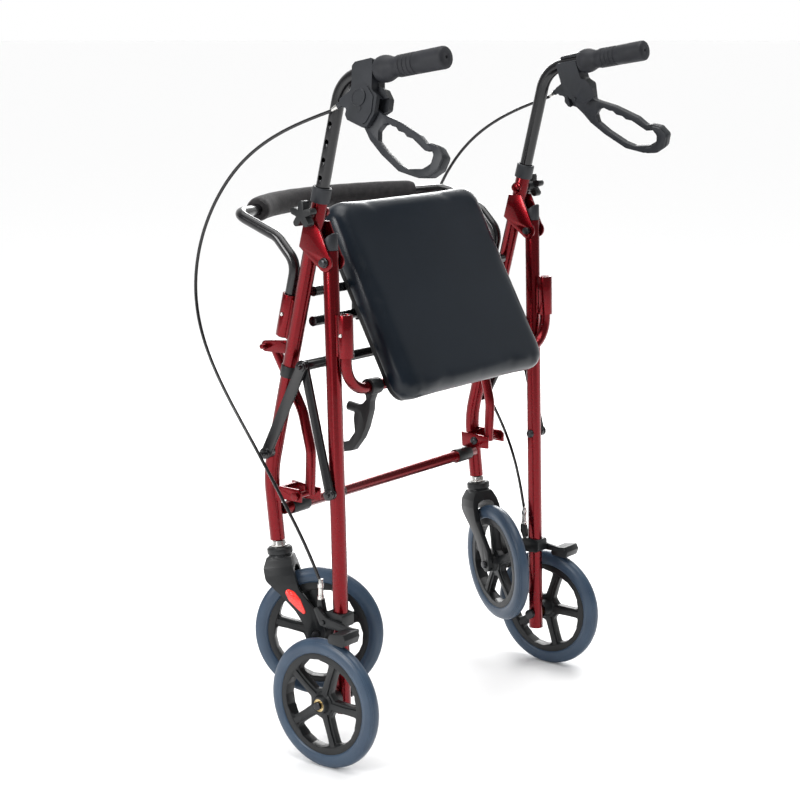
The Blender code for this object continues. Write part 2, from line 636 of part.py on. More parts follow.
def rear_leg_cap(side, label):
    x = side * SIDE_X
    base = Vector(xyz(x, on_rear_leg(737.5)))
    cap = lathe([(0.0, 0.0), (FRAME_R, 0.0), (FRAME_R, 22.5), (9.6, 25.0), (0.0, 25.0)], base, (0.0, 0.028, 1.0))
    # the slanted front face lies flat against the front leg when the walker is open
    clear = math.radians(13.75 + FOLD_OPEN)
    normal = Vector((math.cos(clear), math.sin(clear)))
    along = Vector((-normal.y, normal.x))
    foot = Vector(HINGE) + normal * 26.3
    wedge = [foot - along * 40.0, foot + along * 40.0, foot + along * 40.0 + normal * 40.0, foot - along * 40.0 + normal * 40.0]
    cut(cap, slab([tuple(w) for w in wedge], x - 20.0, x + 20.0))
    return settle(cap, "rear_leg_cap_" + label, "grey_plastic", (x, HINGE[0], HINGE[1]))


def seat_bar():
    y0 = on_rear_leg(646.0)[0] - 23.0
    y1 = on_rear_leg(590.0)[0] - 23.0
    points = [(-SIDE_X, y0, 646.0), (-SIDE_X, y1, 588.0), (-SIDE_X, SEAT_BAR[0], 541.0),
              (SIDE_X, SEAT_BAR[0], 541.0), (SIDE_X, y1, 588.0), (SIDE_X, y0, 646.0)]
    bar = sweep(fillet(points, [0.0, 42.0, 42.0, 0.0], 23.0), BAR_R)
    for side, label in SIDES:
        hole = Vector((side * SIDE_X, on_rear_leg(622.0)[0] - 23.0, 622.0))
        cut(bar, rod(hole - Vector((side * 3.0, 0, 0)), hole + Vector((side * 12.0, 0, 0)), 3.2, 8))
    return settle(bar, "seat_bar", "red", (0.0, HINGE[0], HINGE[1]))


def tyre(name, centre, axis):
    profile = [(74.6, -9.0), (87.0, -11.8), (WHEEL_R, -4.0), (WHEEL_R, 4.0), (87.0, 11.8), (74.6, 9.0)]
    ring = lathe(profile, centre, axis, WHEEL_SIDES, closed=True)
    return settle(ring, name, "tyre", tuple(centre))


def hub(name, centre, axis, forward, inner_half, outer_half, bore):
    """Five-spoke wheel centre: rim, web windows and a round boss along the axle."""
    centre, axis = Vector(centre), Vector(axis).normalized()
    u = (Vector(forward) - axis * Vector(forward).dot(axis)).normalized()
    v = axis.cross(u)
    rim = lathe([(0.0, -8.0), (74.2, -8.0), (74.2, 8.0), (0.0, 8.0)], centre, axis, WHEEL_SIDES)
    for k in range(5):
        mid = 36.0 + 72.0 * k
        window = []
        for angle, radius in ((-25.0, 61.0), (0.0, 66.0), (25.0, 61.0), (9.0, 22.0), (-9.0, 22.0)):
            a = math.radians(mid + angle)
            window.append((radius * math.cos(a), radius * math.sin(a)))
        cut(rim, prism(window, centre - axis * 20.0, u, v, axis * 40.0))
    boss = lathe([(0.0, -inner_half), (12.0, -inner_half), (14.0, -8.0), (14.0, 8.0), (12.0, outer_half), (0.0, outer_half)],
                 centre, axis)
    unite(rim, boss)
    cut(rim, rod(centre - axis * 40.0, centre + axis * 40.0, bore, 12))
    return settle(rim, name, "black_plastic", tuple(centre))


def rear_axle(side, label):
    y, z = AXLE
    profile = [(0.0, 229.0), (7.6, 229.0), (7.6, 235.2), (4.0, 235.3), (4.0, 301.5), (6.0, 301.8), (6.0, 304.5), (3.5, 305.5), (0.0, 305.5)]
    bolt = lathe(profile, (0.0, y, z), (side, 0, 0), 12)
    return settle(bolt, "rear_axle_" + label, "steel", (side * WHEEL_X, y, z))


BRAKE_PIVOT = (16.5, 206.0)


def brake_bracket(side, label):
    x = side * SIDE_X
    y0 = on_rear_leg(212.0)[0]
    clamp = slab(soften([(y0 - 14.5, 196.0), (y0 + 15.0, 196.0), (y0 + 27.0, 200.0), (y0 + 27.0, 214.0), (y0 + 15.0, 228.0), (y0 - 14.5, 226.0)], 3.0, 2),
                 x - side * 13.5, x + side * 13.5)
    arm = slab([(y0 + 18.0, 208.0), (y0 + 24.5, 208.0), (33.0, 226.0), (33.0, 240.0), (26.0, 240.0)], x + side * 4.0, x + side * 13.4)
    barrel = lathe([(0.0, -14.0), (3.4, -14.0), (3.4, -4.0), (4.6, -3.5), (4.6, 7.0), (3.2, 8.0), (3.2, 13.0), (0.0, 13.0)],
                   (x + side * 10.0, 29.0, 239.0), (0, 0, 1), 10)
    pin = rod((x + side * 12.0, BRAKE_PIVOT[0], BRAKE_PIVOT[1]), (x + side * 22.5, BRAKE_PIVOT[0], BRAKE_PIVOT[1]), 3.0, 10)
    unite(clamp, arm, barrel, pin)
    cut(clamp, rod(xyz(x, on_rear_leg(180.0)), xyz(x, on_rear_leg(240.0)), FRAME_R + 0.35, 12))
    return settle(clamp, "brake_bracket_" + label, "black_plastic", (x, HINGE[0], HINGE[1]))


def brake_arm(side, label):
    x = side * SIDE_X
    py, pz = BRAKE_PIVOT
    rocker = soften([(py + 18.0, pz + 17.0), (py + 12.0, pz + 21.0), (py - 6.0, pz + 7.0), (-34.0, pz + 1.0), (-46.0, pz + 2.0),
                     (-46.0, pz - 4.0), (-34.0, pz - 6.5), (py - 6.0, pz - 7.0), (py + 6.0, pz - 5.0)], 2.5, 2)
    plate = slab(rocker, x + side * 15.4, x + side * 20.4)
    cut(plate, rod((x, py, pz), (x + side * 40.0, py, pz), 3.35, 12))
    shoe = [(-46.0, 208.0), (-22.0, 204.0), (-18.0, 196.5), (-20.0, 191.0), (-46.0, 189.5), (-50.0, 200.0)]
    unite(plate, slab(soften(shoe, 2.0, 2), x + side * 19.0, x + side * 52.0))
    return settle(plate, "brake_arm_" + label, "black_plastic", (x, py, pz))


# ---------------------------------------------------------------- casters
def caster_frame(side):
    down = Vector((0.0, -math.sin(STEM_LEAN), -math.cos(STEM_LEAN)))
    back = Vector((0.0, -math.cos(STEM_LEAN), math.sin(STEM_LEAN)))
    turn = CASTER_TURN[side]
    trail = back * math.cos(turn) + Vector((-side, 0.0, 0.0)) * math.sin(turn)
    across = down.cross(trail)
    top = Vector(xyz(side * SIDE_X, STEM_TOP))
    return top, down, trail, across


def caster_fork(side, label):
    top, down, trail, across = caster_frame(side)
    outline = [(-20.0, 12.0), (-23.5, 24.0), (-20.0, 42.0), (6.0, 74.0), (26.0, 100.0), (33.5, 122.0)]
    outline += arc((CASTER_TRAIL, CASTER_DROP), 12.5, 165.0, 15.0, 4)
    outline += [(57.5, 104.0), (46.0, 74.0), (27.0, 36.0), (20.0, 12.0)]
    body = prism(outline, top - across * 23.5, trail, down, across * 47.0)
    crown = lathe([(0.0, 9.0), (17.5, 9.0), (24.6, 20.0), (24.6, 34.0), (16.0, 45.0), (0.0, 45.0)], top, down)
    unite(body, crown)
    hub_point = top + trail * CASTER_TRAIL + down * CASTER_DROP
    cut(body, lathe([(0.0, -15.4), (99.0, -15.4), (99.0, 15.4), (0.0, 15.4)], hub_point, across, 20))
    cut(body, rod(hub_point - across * 40.0, hub_point + across * 40.0, 4.4, 10))
    ring = lathe([(0.0, -9.0), (9.2, -9.0), (9.2, -1.5), (16.0, -1.5), (18.6, 1.0), (18.6, 8.0), (16.0, 11.0), (0.0, 11.0)], top, down)
    stem = rod(top - down * 42.0, top, 5.0, 12)
    unite(body, ring, stem)
    return settle(body, "caster_fork_" + label, "black_plastic", tuple(top))


def caster_axle(side, label):
    top, down, trail, across = caster_frame(side)
    centre = top + trail * CASTER_TRAIL + down * CASTER_DROP
    profile = [(0.0, -28.0), (5.6, -28.0), (6.4, -24.0), (4.0, -23.9), (4.0, 23.9), (6.4, 24.0), (5.6, 28.0), (0.0, 28.0)]
    return settle(lathe(profile, centre, across, 12), "caster_axle_" + label, "steel", tuple(centre))


# ---------------------------------------------------------------- knee brace
def front_brace(side, label):
    """Outer flat bar of the knee brace, with its pivot bosses and the knee nut."""
    bar = slab(bar_outline(BRACE_FRONT, KNEE, 8.5), side * 266.8, side * 270.8)
    for point, x0, x1, radius in ((BRACE_FRONT, SIDE_X + FRAME_R + 0.4, 267.5, 8.0), (BRACE_FRONT, 270.0, 274.5, 8.0),
                                  (BRACE_FRONT, 274.0, 280.5, 3.6), (KNEE, 270.0, 273.4, 7.4), (KNEE, 273.0, 279.0, 4.2)):
        unite(bar, rod((side * x0, point[0], point[1]), (side * x1, point[0], point[1]), radius))
    return settle(bar, "brace_front_" + label, "gloss_black", xyz(side * 268.0, BRACE_FRONT))


def rear_brace(side, label):
    """Inner flat bar of the knee brace, running between the knee cross bar and the outer bar."""
    bar = slab(bar_outline(BRACE_REAR, KNEE, 7.0), side * 261.8, side * 265.8)
    for x0, x1, radius in ((SIDE_X + FRAME_R + 0.4, 262.4, 8.0), (265.0, 268.8, 8.0), (268.5, 272.5, 3.6)):
        unite(bar, rod((side * x0, BRACE_REAR[0], BRACE_REAR[1]), (side * x1, BRACE_REAR[0], BRACE_REAR[1]), radius))
    return settle(bar, "brace_rear_" + label, "gloss_black", xyz(side * 264.0, BRACE_REAR))


def knee_bar():
    bar = rod((-261.2, KNEE[0], KNEE[1]), (261.2, KNEE[0], KNEE[1]), 7.4)
    return settle(bar, "knee_cross_bar", "gloss_black", (0.0, KNEE[0], KNEE[1]))


# ---------------------------------------------------------------- seat
SEAT_UP = Vector((0.0, math.sin(SEAT_LEAN), math.cos(SEAT_LEAN)))
SEAT_OUT = Vector((0.0, -math.cos(SEAT_LEAN), math.sin(SEAT_LEAN)))
SEAT_BASE = Vector((0.0, SEAT_BAR[0], SEAT_BAR[1])) + SEAT_OUT * (BAR_R + 0.5)


def seat_board():
    across = Vector((1.0, 0.0, 0.0))
    w, low, high = SEAT_W / 2.0 - 5.0, -SEAT_BELOW + 5.0, SEAT_L - SEAT_BELOW - 5.0
    outline = soften([(-w, low), (w, low), (w, high), (-w, high)], 24.0, 3)
    board = prism(outline, SEAT_BASE, across, SEAT_UP, SEAT_OUT * BOARD_T)
    centre = Vector((0.0, SEAT_BAR[0], SEAT_BAR[1]))
    for x in (-112.0, 112.0):
        ring = rod(centre + across * (x - 14.0), centre + across * (x + 14.0), 12.2)
        unite(board, ring)
        foot = prism([(-14.0, -12.0), (14.0, -12.0), (14.0, 34.0), (-14.0, 34.0)], SEAT_BASE + across * x - SEAT_OUT * 3.4, across, SEAT_UP,
                     SEAT_OUT * 5.0)
        unite(board, foot)
    cut(board, rod(centre - across * 160.0, centre + across * 160.0, BAR_R + 0.35))
    return settle(board, "seat_board", "black_plastic", tuple(centre))


def seat_pad():
    across = Vector((1.0, 0.0, 0.0))
    layers = ((0.0, 1.2, 26.0), (5.0, 0.0, 27.0), (20.0, 0.0, 27.0), (26.0, 2.0, 26.0), (29.0, 7.5, 22.0))
    bm = bmesh.new()
    rings = []
    for height, inset, radius in layers:
        w, low, high = SEAT_W / 2.0 - inset, -SEAT_BELOW + inset, SEAT_L - SEAT_BELOW - inset
        outline = soften([(-w, low), (w, low), (w, high), (-w, high)], radius, 3)
        base = SEAT_BASE + SEAT_OUT * (BOARD_T + 0.3 + height)
        rings.append([bm.verts.new(base + across * a + SEAT_UP * b) for a, b in outline])
    for first, second in zip(rings, rings[1:]):
        count = len(first)
        for k in range(count):
            n = (k + 1) % count
            bm.faces.new((first[k], first[n], second[n], second[k]))
    bm.faces.new(rings[0][::-1])
    bm.faces.new(rings[-1])
    pad = raw_object(bm)
    return settle(pad, "seat_pad", "vinyl", (0.0, SEAT_BAR[0], SEAT_BAR[1]))


def seat_rails():
    upper, lower = (61.0, 674.4), (62.0, 631.6)
    rails = rod((-231.0, upper[0], upper[1]), (231.0, upper[0], upper[1]), 7.2)
    unite(rails, rod((-231.0, lower[0], lower[1]), (231.0, lower[0], lower[1]), 7.2))
    base = SEAT_BASE - SEAT_OUT * 0.3
    for x in (-130.0, 130.0):
        def on_seat(distance, drop):
            p = base + SEAT_UP * distance - SEAT_OUT * drop
            return (p.y, p.z)
        hanger = [on_seat(96.0, 0.0), on_seat(190.0, 0.0), on_seat(190.0, 5.0), (upper[0] + 6.0, upper[1] + 9.0), (upper[0] + 11.0, upper[1] - 3.0),
                  (lower[0] + 10.0, lower[1] - 1.0), (lower[0] + 2.0, lower[1] - 10.5), on_seat(96.0, 5.0)]
        unite(rails, slab(hanger, x - 2.0, x + 2.0))
        foot = prism([(-9.0, 96.0), (9.0, 96.0), (9.0, 190.0), (-9.0, 190.0)], base + Vector((x, 0, 0)) - SEAT_OUT * 3.0, (1, 0, 0), SEAT_UP,
                     SEAT_OUT * 3.0)
        unite(rails, foot)
    return settle(rails, "seat_rails", "gloss_black", (0.0, SEAT_BAR[0], SEAT_BAR[1]))


def fold_hook():
    x0, x1 = -200.0, -178.0
    y, z = SEAT_BAR
    clamp = rod((x0, y, z), (x1, y, z), 12.0, 14)
    body = slab(soften([(-20.0, 536.0), (-4.0, 534.0), (-6.0, 522.0), (2.0, 514.0), (14.0, 512.0), (17.0, 492.0), (15.0, 472.0),
                        (26.0, 458.0), (44.0, 452.0), (56.0, 455.0), (58.0, 446.0), (42.0, 439.0), (20.0, 444.0), (4.0, 464.0),
                        (-4.0, 480.0), (-12.0, 506.0), (-13.0, 520.0)], 4.0, 1), -196.0, -183.0)
    stub = rod((-189.5, 4.0, 505.0), (-189.5, 30.0, 508.0), 7.0, 12)
    unite(clamp, body, stub)
    cut(clamp, rod((x0 - 20.0, y, z), (x1 + 20.0, y, z), BAR_R + 0.35))
    return settle(clamp, "fold_hook", "black_plastic", (-189.0, y, z))


# ---------------------------------------------------------------- build
for side, label in SIDES:
    front_leg(side, label)
    support_tube(side, label)
    collar(side, label)
    hinge_bolt(side, label)
    handle_tube(side, label)
    grip(side, label)
    brake_housing(side, label)
    brake_lever(side, label)
    clamp_knob(side, label)
    brake_cable(side, label)
    snap_button("back_button_" + label, xyz(side * (SIDE_X + SOCKET_SHIFT), on_front_leg(BUTTON_Z, SOCKET_AHEAD)), (side, 0, 0), 3.0, 13.6)
    rear_leg(side, label)
    rear_leg_cap(side, label)
    snap_button("seat_button_" + label, (side * SIDE_X, on_rear_leg(622.0)[0] - 23.0, 622.0), (side, 0, 0), 3.0, 13.4)
    rear_axle(side, label)
    brake_bracket(side, label)
    brake_arm(side, label)
    wheel_centre = (side * WHEEL_X, AXLE[0], AXLE[1])
    tyre("rear_tyre_" + label, wheel_centre, (side, 0, 0))
    hub("rear_hub_" + label, wheel_centre, (side, 0, 0), (0.0, -1.0, 0.0), 25.5, 15.2, 4.3)
    caster_fork(side, label)
    caster_axle(side, label)
    top, down, trail, across = caster_frame(side)
    caster_centre = top + trail * CASTER_TRAIL + down * CASTER_DROP
    tyre("caster_tyre_" + label, caster_centre, across)
    hub("caster_hub_" + label, caster_centre, across, -down, 14.4, 14.4, 4.3)
    front_brace(side, label)
    rear_brace(side, label)

lower_cross_tube()
backrest_bar()
backrest_pad()
seat_bar()
knee_bar()
seat_board()
seat_pad()
seat_rails()
fold_hook()
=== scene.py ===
"""Looks of the folding four-wheel walker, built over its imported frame. Tables are in millimetres."""
import json
from math import atan2, ceil, cos, degrees, hypot, pi, radians, sin, tan

import bmesh
import bpy
from mathutils import Matrix, Vector, noise


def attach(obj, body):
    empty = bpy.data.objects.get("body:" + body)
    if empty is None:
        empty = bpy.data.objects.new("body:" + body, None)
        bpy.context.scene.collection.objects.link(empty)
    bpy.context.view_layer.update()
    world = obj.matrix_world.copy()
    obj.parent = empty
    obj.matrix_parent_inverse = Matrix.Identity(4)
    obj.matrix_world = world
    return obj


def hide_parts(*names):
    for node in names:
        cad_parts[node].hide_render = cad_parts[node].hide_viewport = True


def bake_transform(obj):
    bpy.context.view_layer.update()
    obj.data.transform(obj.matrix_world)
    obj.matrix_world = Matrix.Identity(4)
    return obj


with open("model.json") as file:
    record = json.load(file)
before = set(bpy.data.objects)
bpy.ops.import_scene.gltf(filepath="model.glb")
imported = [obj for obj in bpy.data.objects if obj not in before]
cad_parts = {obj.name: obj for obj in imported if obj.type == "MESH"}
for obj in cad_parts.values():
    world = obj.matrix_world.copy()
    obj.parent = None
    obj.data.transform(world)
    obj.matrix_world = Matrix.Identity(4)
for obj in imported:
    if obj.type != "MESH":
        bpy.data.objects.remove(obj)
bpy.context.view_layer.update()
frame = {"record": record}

MM = 0.001
FINER = 3                 # curves here have this many times the steps that the calls ask for

# ---------------------------------------------------------------- driving dimensions (mm)
CENTRE_Y = 33.2           # forward offset of the bounding-box centre from the rear axle line
FLOOR_Z = 0.81            # flat of the faceted tyre tread that stands on the floor
SIDE_X = 247            # centre plane of the front and rear legs, either side of the middle
FRAME_R = 11.1            # 7/8 inch frame tube
HANDLE_R = 9.5            # telescoping handle tube
HOLE_PITCH = 25.4         # spacing of its height holes
LEG_BORE_R = 10.1         # bore of the front leg where the handle tube slides
BAR_R = 8               # backrest bar and seat bar
FRONT_TOP = (31.2, 811)         # (y, z) top of the front leg
FRONT_BEND = (130.4, 405.4)       # corner of the front leg's bend
FRONT_BOTTOM = (118.9, 307.5)
HINGE = (14, 721.5)             # fold pivot
FOLD_OPEN = 36          # degrees between folded and open
REAR_TOP = (14.9, 737)
REAR_BOTTOM = (-3.8, 70.5)
WHEEL_X = 285.5
AXLE = (-1.6, 95)
SEAT_BAR = (-12, 541)         # cross part of the U-shaped seat bar
SEAT_LEAN = radians(28.5)    # flipped-up seat, from vertical
SEAT_W, SEAT_L = 352, 305
SEAT_BELOW = 38         # seat overhang below the seat bar
BOARD_T = 8
KNEE = (50, 574)
BRACE_FRONT = (119, 440)
BRACE_REAR = (5.1, 395)
STEM_TOP = (115.5, 296)         # caster swivel reference point under the front leg
STEM_LEAN = radians(6.8)
SOCKET_SHIFT = -2       # backrest socket, outboard of the leg and ahead of it
SOCKET_AHEAD = 24
BUTTON_Z = 636
KNOB_Z = 788            # height of the clamp knobs
SEAT_BUTTON_Z = 622
REAR_SOCKET = 23        # seat-bar socket, behind the rear leg
FOOT = (77.5, 379)      # bolt at the foot of the inner support tube
EAR = (144, 589)      # bolt at the top of the inner support tube
CROSS_TUBE = (117.5, 351)
CASTER_DROP = 128
CASTER_TRAIL = 46
CASTER_TURN = {-1: radians(30), 1: radians(27)}
GRIP_MID = (-76.5, 985)
GRIP_RISE = radians(9.6)
BRAKE_SPLAY = radians(14)

SIDES = ((-1, "left"), (1, "right"))

RECORD = frame["record"]
BODY_OF = {node: body for body, nodes in RECORD["behaviour"]["bodies"].items() for node in nodes}
TO_ROW = Matrix.Scale(MM, 4) @ Matrix.Translation(Vector((0, -CENTRE_Y, -FLOOR_Z)))


def row(point):
    return TO_ROW @ Vector(point)


# ---------------------------------------------------------------- materials
class Nodes:
    """Small helper that lays out a Principled material."""

    def __init__(self, name, colour, metallic, roughness, specular=0.5):
        self.material = bpy.data.materials.new(name)
        self.material.use_nodes = True
        self.tree = self.material.node_tree
        self.shader = self.tree.nodes["Principled BSDF"]
        self.shader.inputs["Base Color"].default_value = (*colour, 1)
        self.shader.inputs["Metallic"].default_value = metallic
        self.shader.inputs["Roughness"].default_value = roughness
        self.shader.inputs["Specular IOR Level"].default_value = specular
        self.material.diffuse_color = (*colour, 1)
        self.place = self.tree.nodes.new("ShaderNodeTexCoord").outputs["Object"]

    def put(self, kind, **values):
        node = self.tree.nodes.new(kind)
        for key, value in values.items():
            node.inputs[key].default_value = value
        return node

    def link(self, a, b):
        self.tree.links.new(a, b)

    def noise(self, scale, detail=3):
        node = self.put("ShaderNodeTexNoise", Scale=scale, Detail=detail, Roughness=0.5)
        self.link(self.place, node.inputs["Vector"])
        return node.outputs["Fac"]

    def cells(self, scale, feature):
        node = self.put("ShaderNodeTexVoronoi", Scale=scale)
        node.feature = feature
        self.link(self.place, node.inputs["Vector"])
        return node.outputs["Distance"]

    def blend_colour(self, factor, low, high, start=0.3, end=0.7):
        ramp = self.tree.nodes.new("ShaderNodeValToRGB")
        ramp.color_ramp.elements[0].position = start
        ramp.color_ramp.elements[0].color = (*low, 1)
        ramp.color_ramp.elements[1].position = end
        ramp.color_ramp.elements[1].color = (*high, 1)
        self.link(factor, ramp.inputs["Fac"])
        self.link(ramp.outputs["Color"], self.shader.inputs["Base Color"])

    def vary_roughness(self, factor, low, high):
        spread = self.put("ShaderNodeMapRange")
        spread.inputs["To Min"].default_value = low
        spread.inputs["To Max"].default_value = high
        self.link(factor, spread.inputs["Value"])
        self.link(spread.outputs["Result"], self.shader.inputs["Roughness"])

    def bump(self, height, strength, distance):
        node = self.put("ShaderNodeBump", Strength=strength, Distance=distance)
        self.link(height, node.inputs["Height"])
        last = self.shader.inputs["Normal"].links
        if last:
            self.link(last[0].from_socket, node.inputs["Normal"])
        self.link(node.outputs["Normal"], self.shader.inputs["Normal"])

    def coat(self, weight, roughness):
        self.shader.inputs["Coat Weight"].default_value = weight
        self.shader.inputs["Coat Roughness"].default_value = roughness


LOOKS = {}


def look(key, name, colour, metallic, roughness, specular=0.5, tint=None, gloss=None, bumps=(), coat=None):
    """Material with noise in its colour (tint) and roughness (gloss), layered bumps and a clear coat."""
    m = Nodes(name, colour, metallic, roughness, specular)
    if tint:
        scale, detail, low, high, *ends = tint
        m.blend_colour(m.noise(scale, detail), low, high, *ends)
    if gloss:
        scale, detail, low, high = gloss
        m.vary_roughness(m.noise(scale, detail), low, high)
    for kind, scale, detail, strength, distance in bumps:
        m.bump(m.noise(scale, detail) if kind == "noise" else m.cells(scale, kind), strength, distance)
    if coat:
        m.coat(*coat)
    LOOKS[key] = m.material
    return m.shader.inputs


# candy lacquer: deep red over metallic flake, under a clear coat
look("red", "red_lacquer", (0.19, 0.003, 0.009), 0.9, 0.3, tint=(2600, 2, (0.105, 0.0006, 0.003),
            (0.205, 0.001, 0.0055), 0.35, 0.65), gloss=(60, 3, 0.22, 0.33), bumps=[("noise", 220, 2, 0.04, 0.0004)],
     coat=(0.3, 0.05))
# gloss black powder coat with a trace of orange peel
look("gloss_black", "black_powder_coat", (0.005, 0.005, 0.006), 0, 0.24, 0.4, gloss=(90, 3, 0.17, 0.27),
     bumps=[("noise", 700, 2, 0.08, 0.0003)], coat=(0.2, 0.1))
# dark grey moulded plastic
look("grey_plastic", "grey_moulding", (0.024, 0.026, 0.031), 0, 0.46, 0.35, tint=(35, 4, (0.013, 0.015, 0.018),
            (0.019, 0.021, 0.026)), gloss=(50, 3, 0.4, 0.52), bumps=[("noise", 2200, 2, 0.18, 0.0002)])
# black moulded plastic
look("black_plastic", "black_moulding", (0.01, 0.011, 0.012), 0, 0.42, 0.35, tint=(40, 4, (0.006, 0.007, 0.008),
            (0.01, 0.011, 0.012)), gloss=(45, 3, 0.33, 0.46), bumps=[("noise", 1800, 2, 0.15, 0.0002)])
# blue-grey solid tyre, slightly dusty tread
look("tyre", "tyre_compound", (0.058, 0.085, 0.125), 0, 0.42, 0.4, tint=(28, 5, (0.028, 0.049, 0.083),
            (0.039, 0.067, 0.107)), gloss=(70, 3, 0.29, 0.42), bumps=[("noise", 1500, 3, 0.12, 0.0003)])
# bright plated steel
look("steel", "plated_steel", (0.62, 0.61, 0.59), 1, 0.26, gloss=(500, 3, 0.18, 0.36),
     bumps=[("noise", 900, 2, 0.05, 0.0002)])
# closed-cell foam sleeve
foam = look("foam", "foam_sleeve", (0.026, 0.023, 0.024), 0, 0.82, 0.2, tint=(120, 5, (0.017, 0.016, 0.017),
            (0.03, 0.028, 0.029)), bumps=[("F1", 1500, None, 0.35, 0.0005), ("noise", 260, 4, 0.25, 0.0008)])
foam["Sheen Weight"].default_value = 0.08
foam["Sheen Roughness"].default_value = 0.5
# padded vinyl with a fine pebble grain
look("vinyl", "seat_vinyl", (0.0075, 0.012, 0.0165), 0, 0.36, 0.3, tint=(9, 4, (0.003, 0.0065, 0.0115),
            (0.0045, 0.0086, 0.0145)), gloss=(300, 4, 0.26, 0.35), bumps=[("DISTANCE_TO_EDGE", 900, None, 0.12,
            0.0003), ("noise", 45, 3, 0.04, 0.001)])
# grip rubber
look("rubber", "grip_rubber", (0.02, 0.021, 0.025), 0, 0.6, 0.3, tint=(60, 4, (0.012, 0.013, 0.016),
            (0.018, 0.019, 0.023)), bumps=[("noise", 1300, 3, 0.2, 0.0003)])
# red reflector with small prisms, and a painted glow from a weak red emission
reflector_painted_glow = look("reflector", "red_reflector", (0.75, 0.012, 0.01), 0, 0.12, tint=(140, 2, (0.55, 0.006, 0.006),
            (0.95, 0.03, 0.016)), bumps=[("DISTANCE_TO_EDGE", 420, None, 0.6, 0.001)], coat=(0.9, 0.03))
# painted glow: a weak red emission stands in for light sent back by the prisms; the reflector is no lamp
reflector_painted_glow["Emission Color"].default_value = (0.9, 0.02, 0.01, 1)
reflector_painted_glow["Emission Strength"].default_value = 0.25
# blackened bolts and nuts
look("dark_steel", "black_steel", (0.045, 0.045, 0.048), 0.9, 0.34, gloss=(450, 3, 0.26, 0.44),
     bumps=[("noise", 900, 2, 0.05, 0.0002)])
# brass bearing race
look("brass", "brass_race", (0.6, 0.47, 0.25), 1, 0.3, gloss=(400, 3, 0.22, 0.4))
BEVELS = {"dark_steel": 0.3, "red": 0.5, "gloss_black": 0.4, "grey_plastic": 0.8, "black_plastic": 0.8,
          "steel": 0.3, "rubber": 0.6}


# ---------------------------------------------------------------- small helpers
def raw_object(bm):
    """Wrap a bmesh (millimetres, global) in an object."""
    bmesh.ops.recalc_face_normals(bm, faces=bm.faces[:])
    mesh = bpy.data.meshes.new("raw")
    bm.to_mesh(mesh)
    bm.free()
    obj = bpy.data.objects.new("raw", mesh)
    bpy.context.scene.collection.objects.link(obj)
    return obj


def bake(obj, modifier):
    """Apply a modifier to the object's mesh and drop it."""
    graph = bpy.context.evaluated_depsgraph_get()
    mesh = bpy.data.meshes.new_from_object(obj.evaluated_get(graph))
    obj.modifiers.remove(modifier)
    obj.data = mesh


def combine(base, tool, operation):
    """Apply an exact Boolean of tool onto base and drop the tool."""
    modifier = base.modifiers.new("join", "BOOLEAN")
    modifier.operation = operation
    modifier.solver = "EXACT"
    modifier.object = tool
    old, spare = base.data, tool.data
    bake(base, modifier)
    bpy.data.meshes.remove(old)
    bpy.data.objects.remove(tool, do_unlink=True)
    bpy.data.meshes.remove(spare)
    return base


def unite(base, *tools):
    for tool in tools:
        combine(base, tool, "UNION")
    return base


def cut(base, *tools):
    for tool in tools:
        combine(base, tool, "DIFFERENCE")
    return base


def settle(obj, name, look, bevel=None, angle=32, body=None, clean=0.01):
    """Finish a millimetre object as a visible piece that rides on its CAD body."""
    bm = bmesh.new()
    bm.from_mesh(obj.data)
    if clean:
        bmesh.ops.remove_doubles(bm, verts=bm.verts[:], dist=clean)
        bmesh.ops.dissolve_degenerate(bm, dist=clean, edges=bm.edges[:])
    bm.to_mesh(obj.data)
    bm.free()
    width = BEVELS.get(look, 0) if bevel is None else bevel
    if width:
        modifier = obj.modifiers.new("edge", "BEVEL")
        modifier.width = width
        modifier.segments = 2
        modifier.limit_method = "ANGLE"
        modifier.angle_limit = radians(38)
        modifier.use_clamp_overlap = True
        bake(obj, modifier)
    obj.data.transform(TO_ROW)
    obj.name = name + "_skin"
    obj.data.name = obj.name
    obj.data.materials.clear()
    obj.data.materials.append(LOOKS[look])
    obj.data.shade_smooth()
    obj.data.set_sharp_from_angle(angle=radians(angle))
    if name in BODY_OF:
        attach(obj, BODY_OF[name])
        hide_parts(name)
    else:
        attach(obj, body)
    return obj


def fillet(points, radii):
    """Round the inner corners of a 3-D polyline with circular arcs."""
    points = [Vector(p) for p in points]
    path = [points[0]]
    for index in range(1, len(points) - 1):
        corner = points[index]
        before = (points[index - 1] - corner).normalized()
        after = (points[index + 1] - corner).normalized()
        half = before.angle(after) / 2
        turn = pi - 2 * half
        radius = radii[index - 1]
        if turn < 0.02 or radius <= 0:
            path.append(corner)
            continue
        reach = radius / tan(half)
        start = corner + before * reach
        middle = corner + (before + after).normalized() * (radius / sin(half))
        axis = before.cross(after).normalized()
        count = max(3, int(ceil(degrees(turn) / 5)))
        for k in range(count + 1):
            spin = Matrix.Rotation(-turn * k / count, 3, axis)
            path.append(middle + spin @ (start - middle))
    path.append(points[-1])
    return path


def circle(bm, centre, u, v, radius, sides):
    """Ring of points round a centre, in the plane of u and v."""
    angles = [2 * pi * (k + 0.5) / sides for k in range(sides)]
    return [bm.verts.new(centre + (u * cos(a) + v * sin(a)) * radius) for a in angles]


def bridge(bm, rings):
    """Join rings of the same size with quads."""
    for first, second in zip(rings, rings[1:]):
        count = len(first)
        for k in range(count):
            n = (k + 1) % count
            bm.faces.new((first[k], first[n], second[n], second[k]))


def close_ends(bm, rings):
    bm.faces.new(rings[0][::-1])
    bm.faces.new(rings[-1])


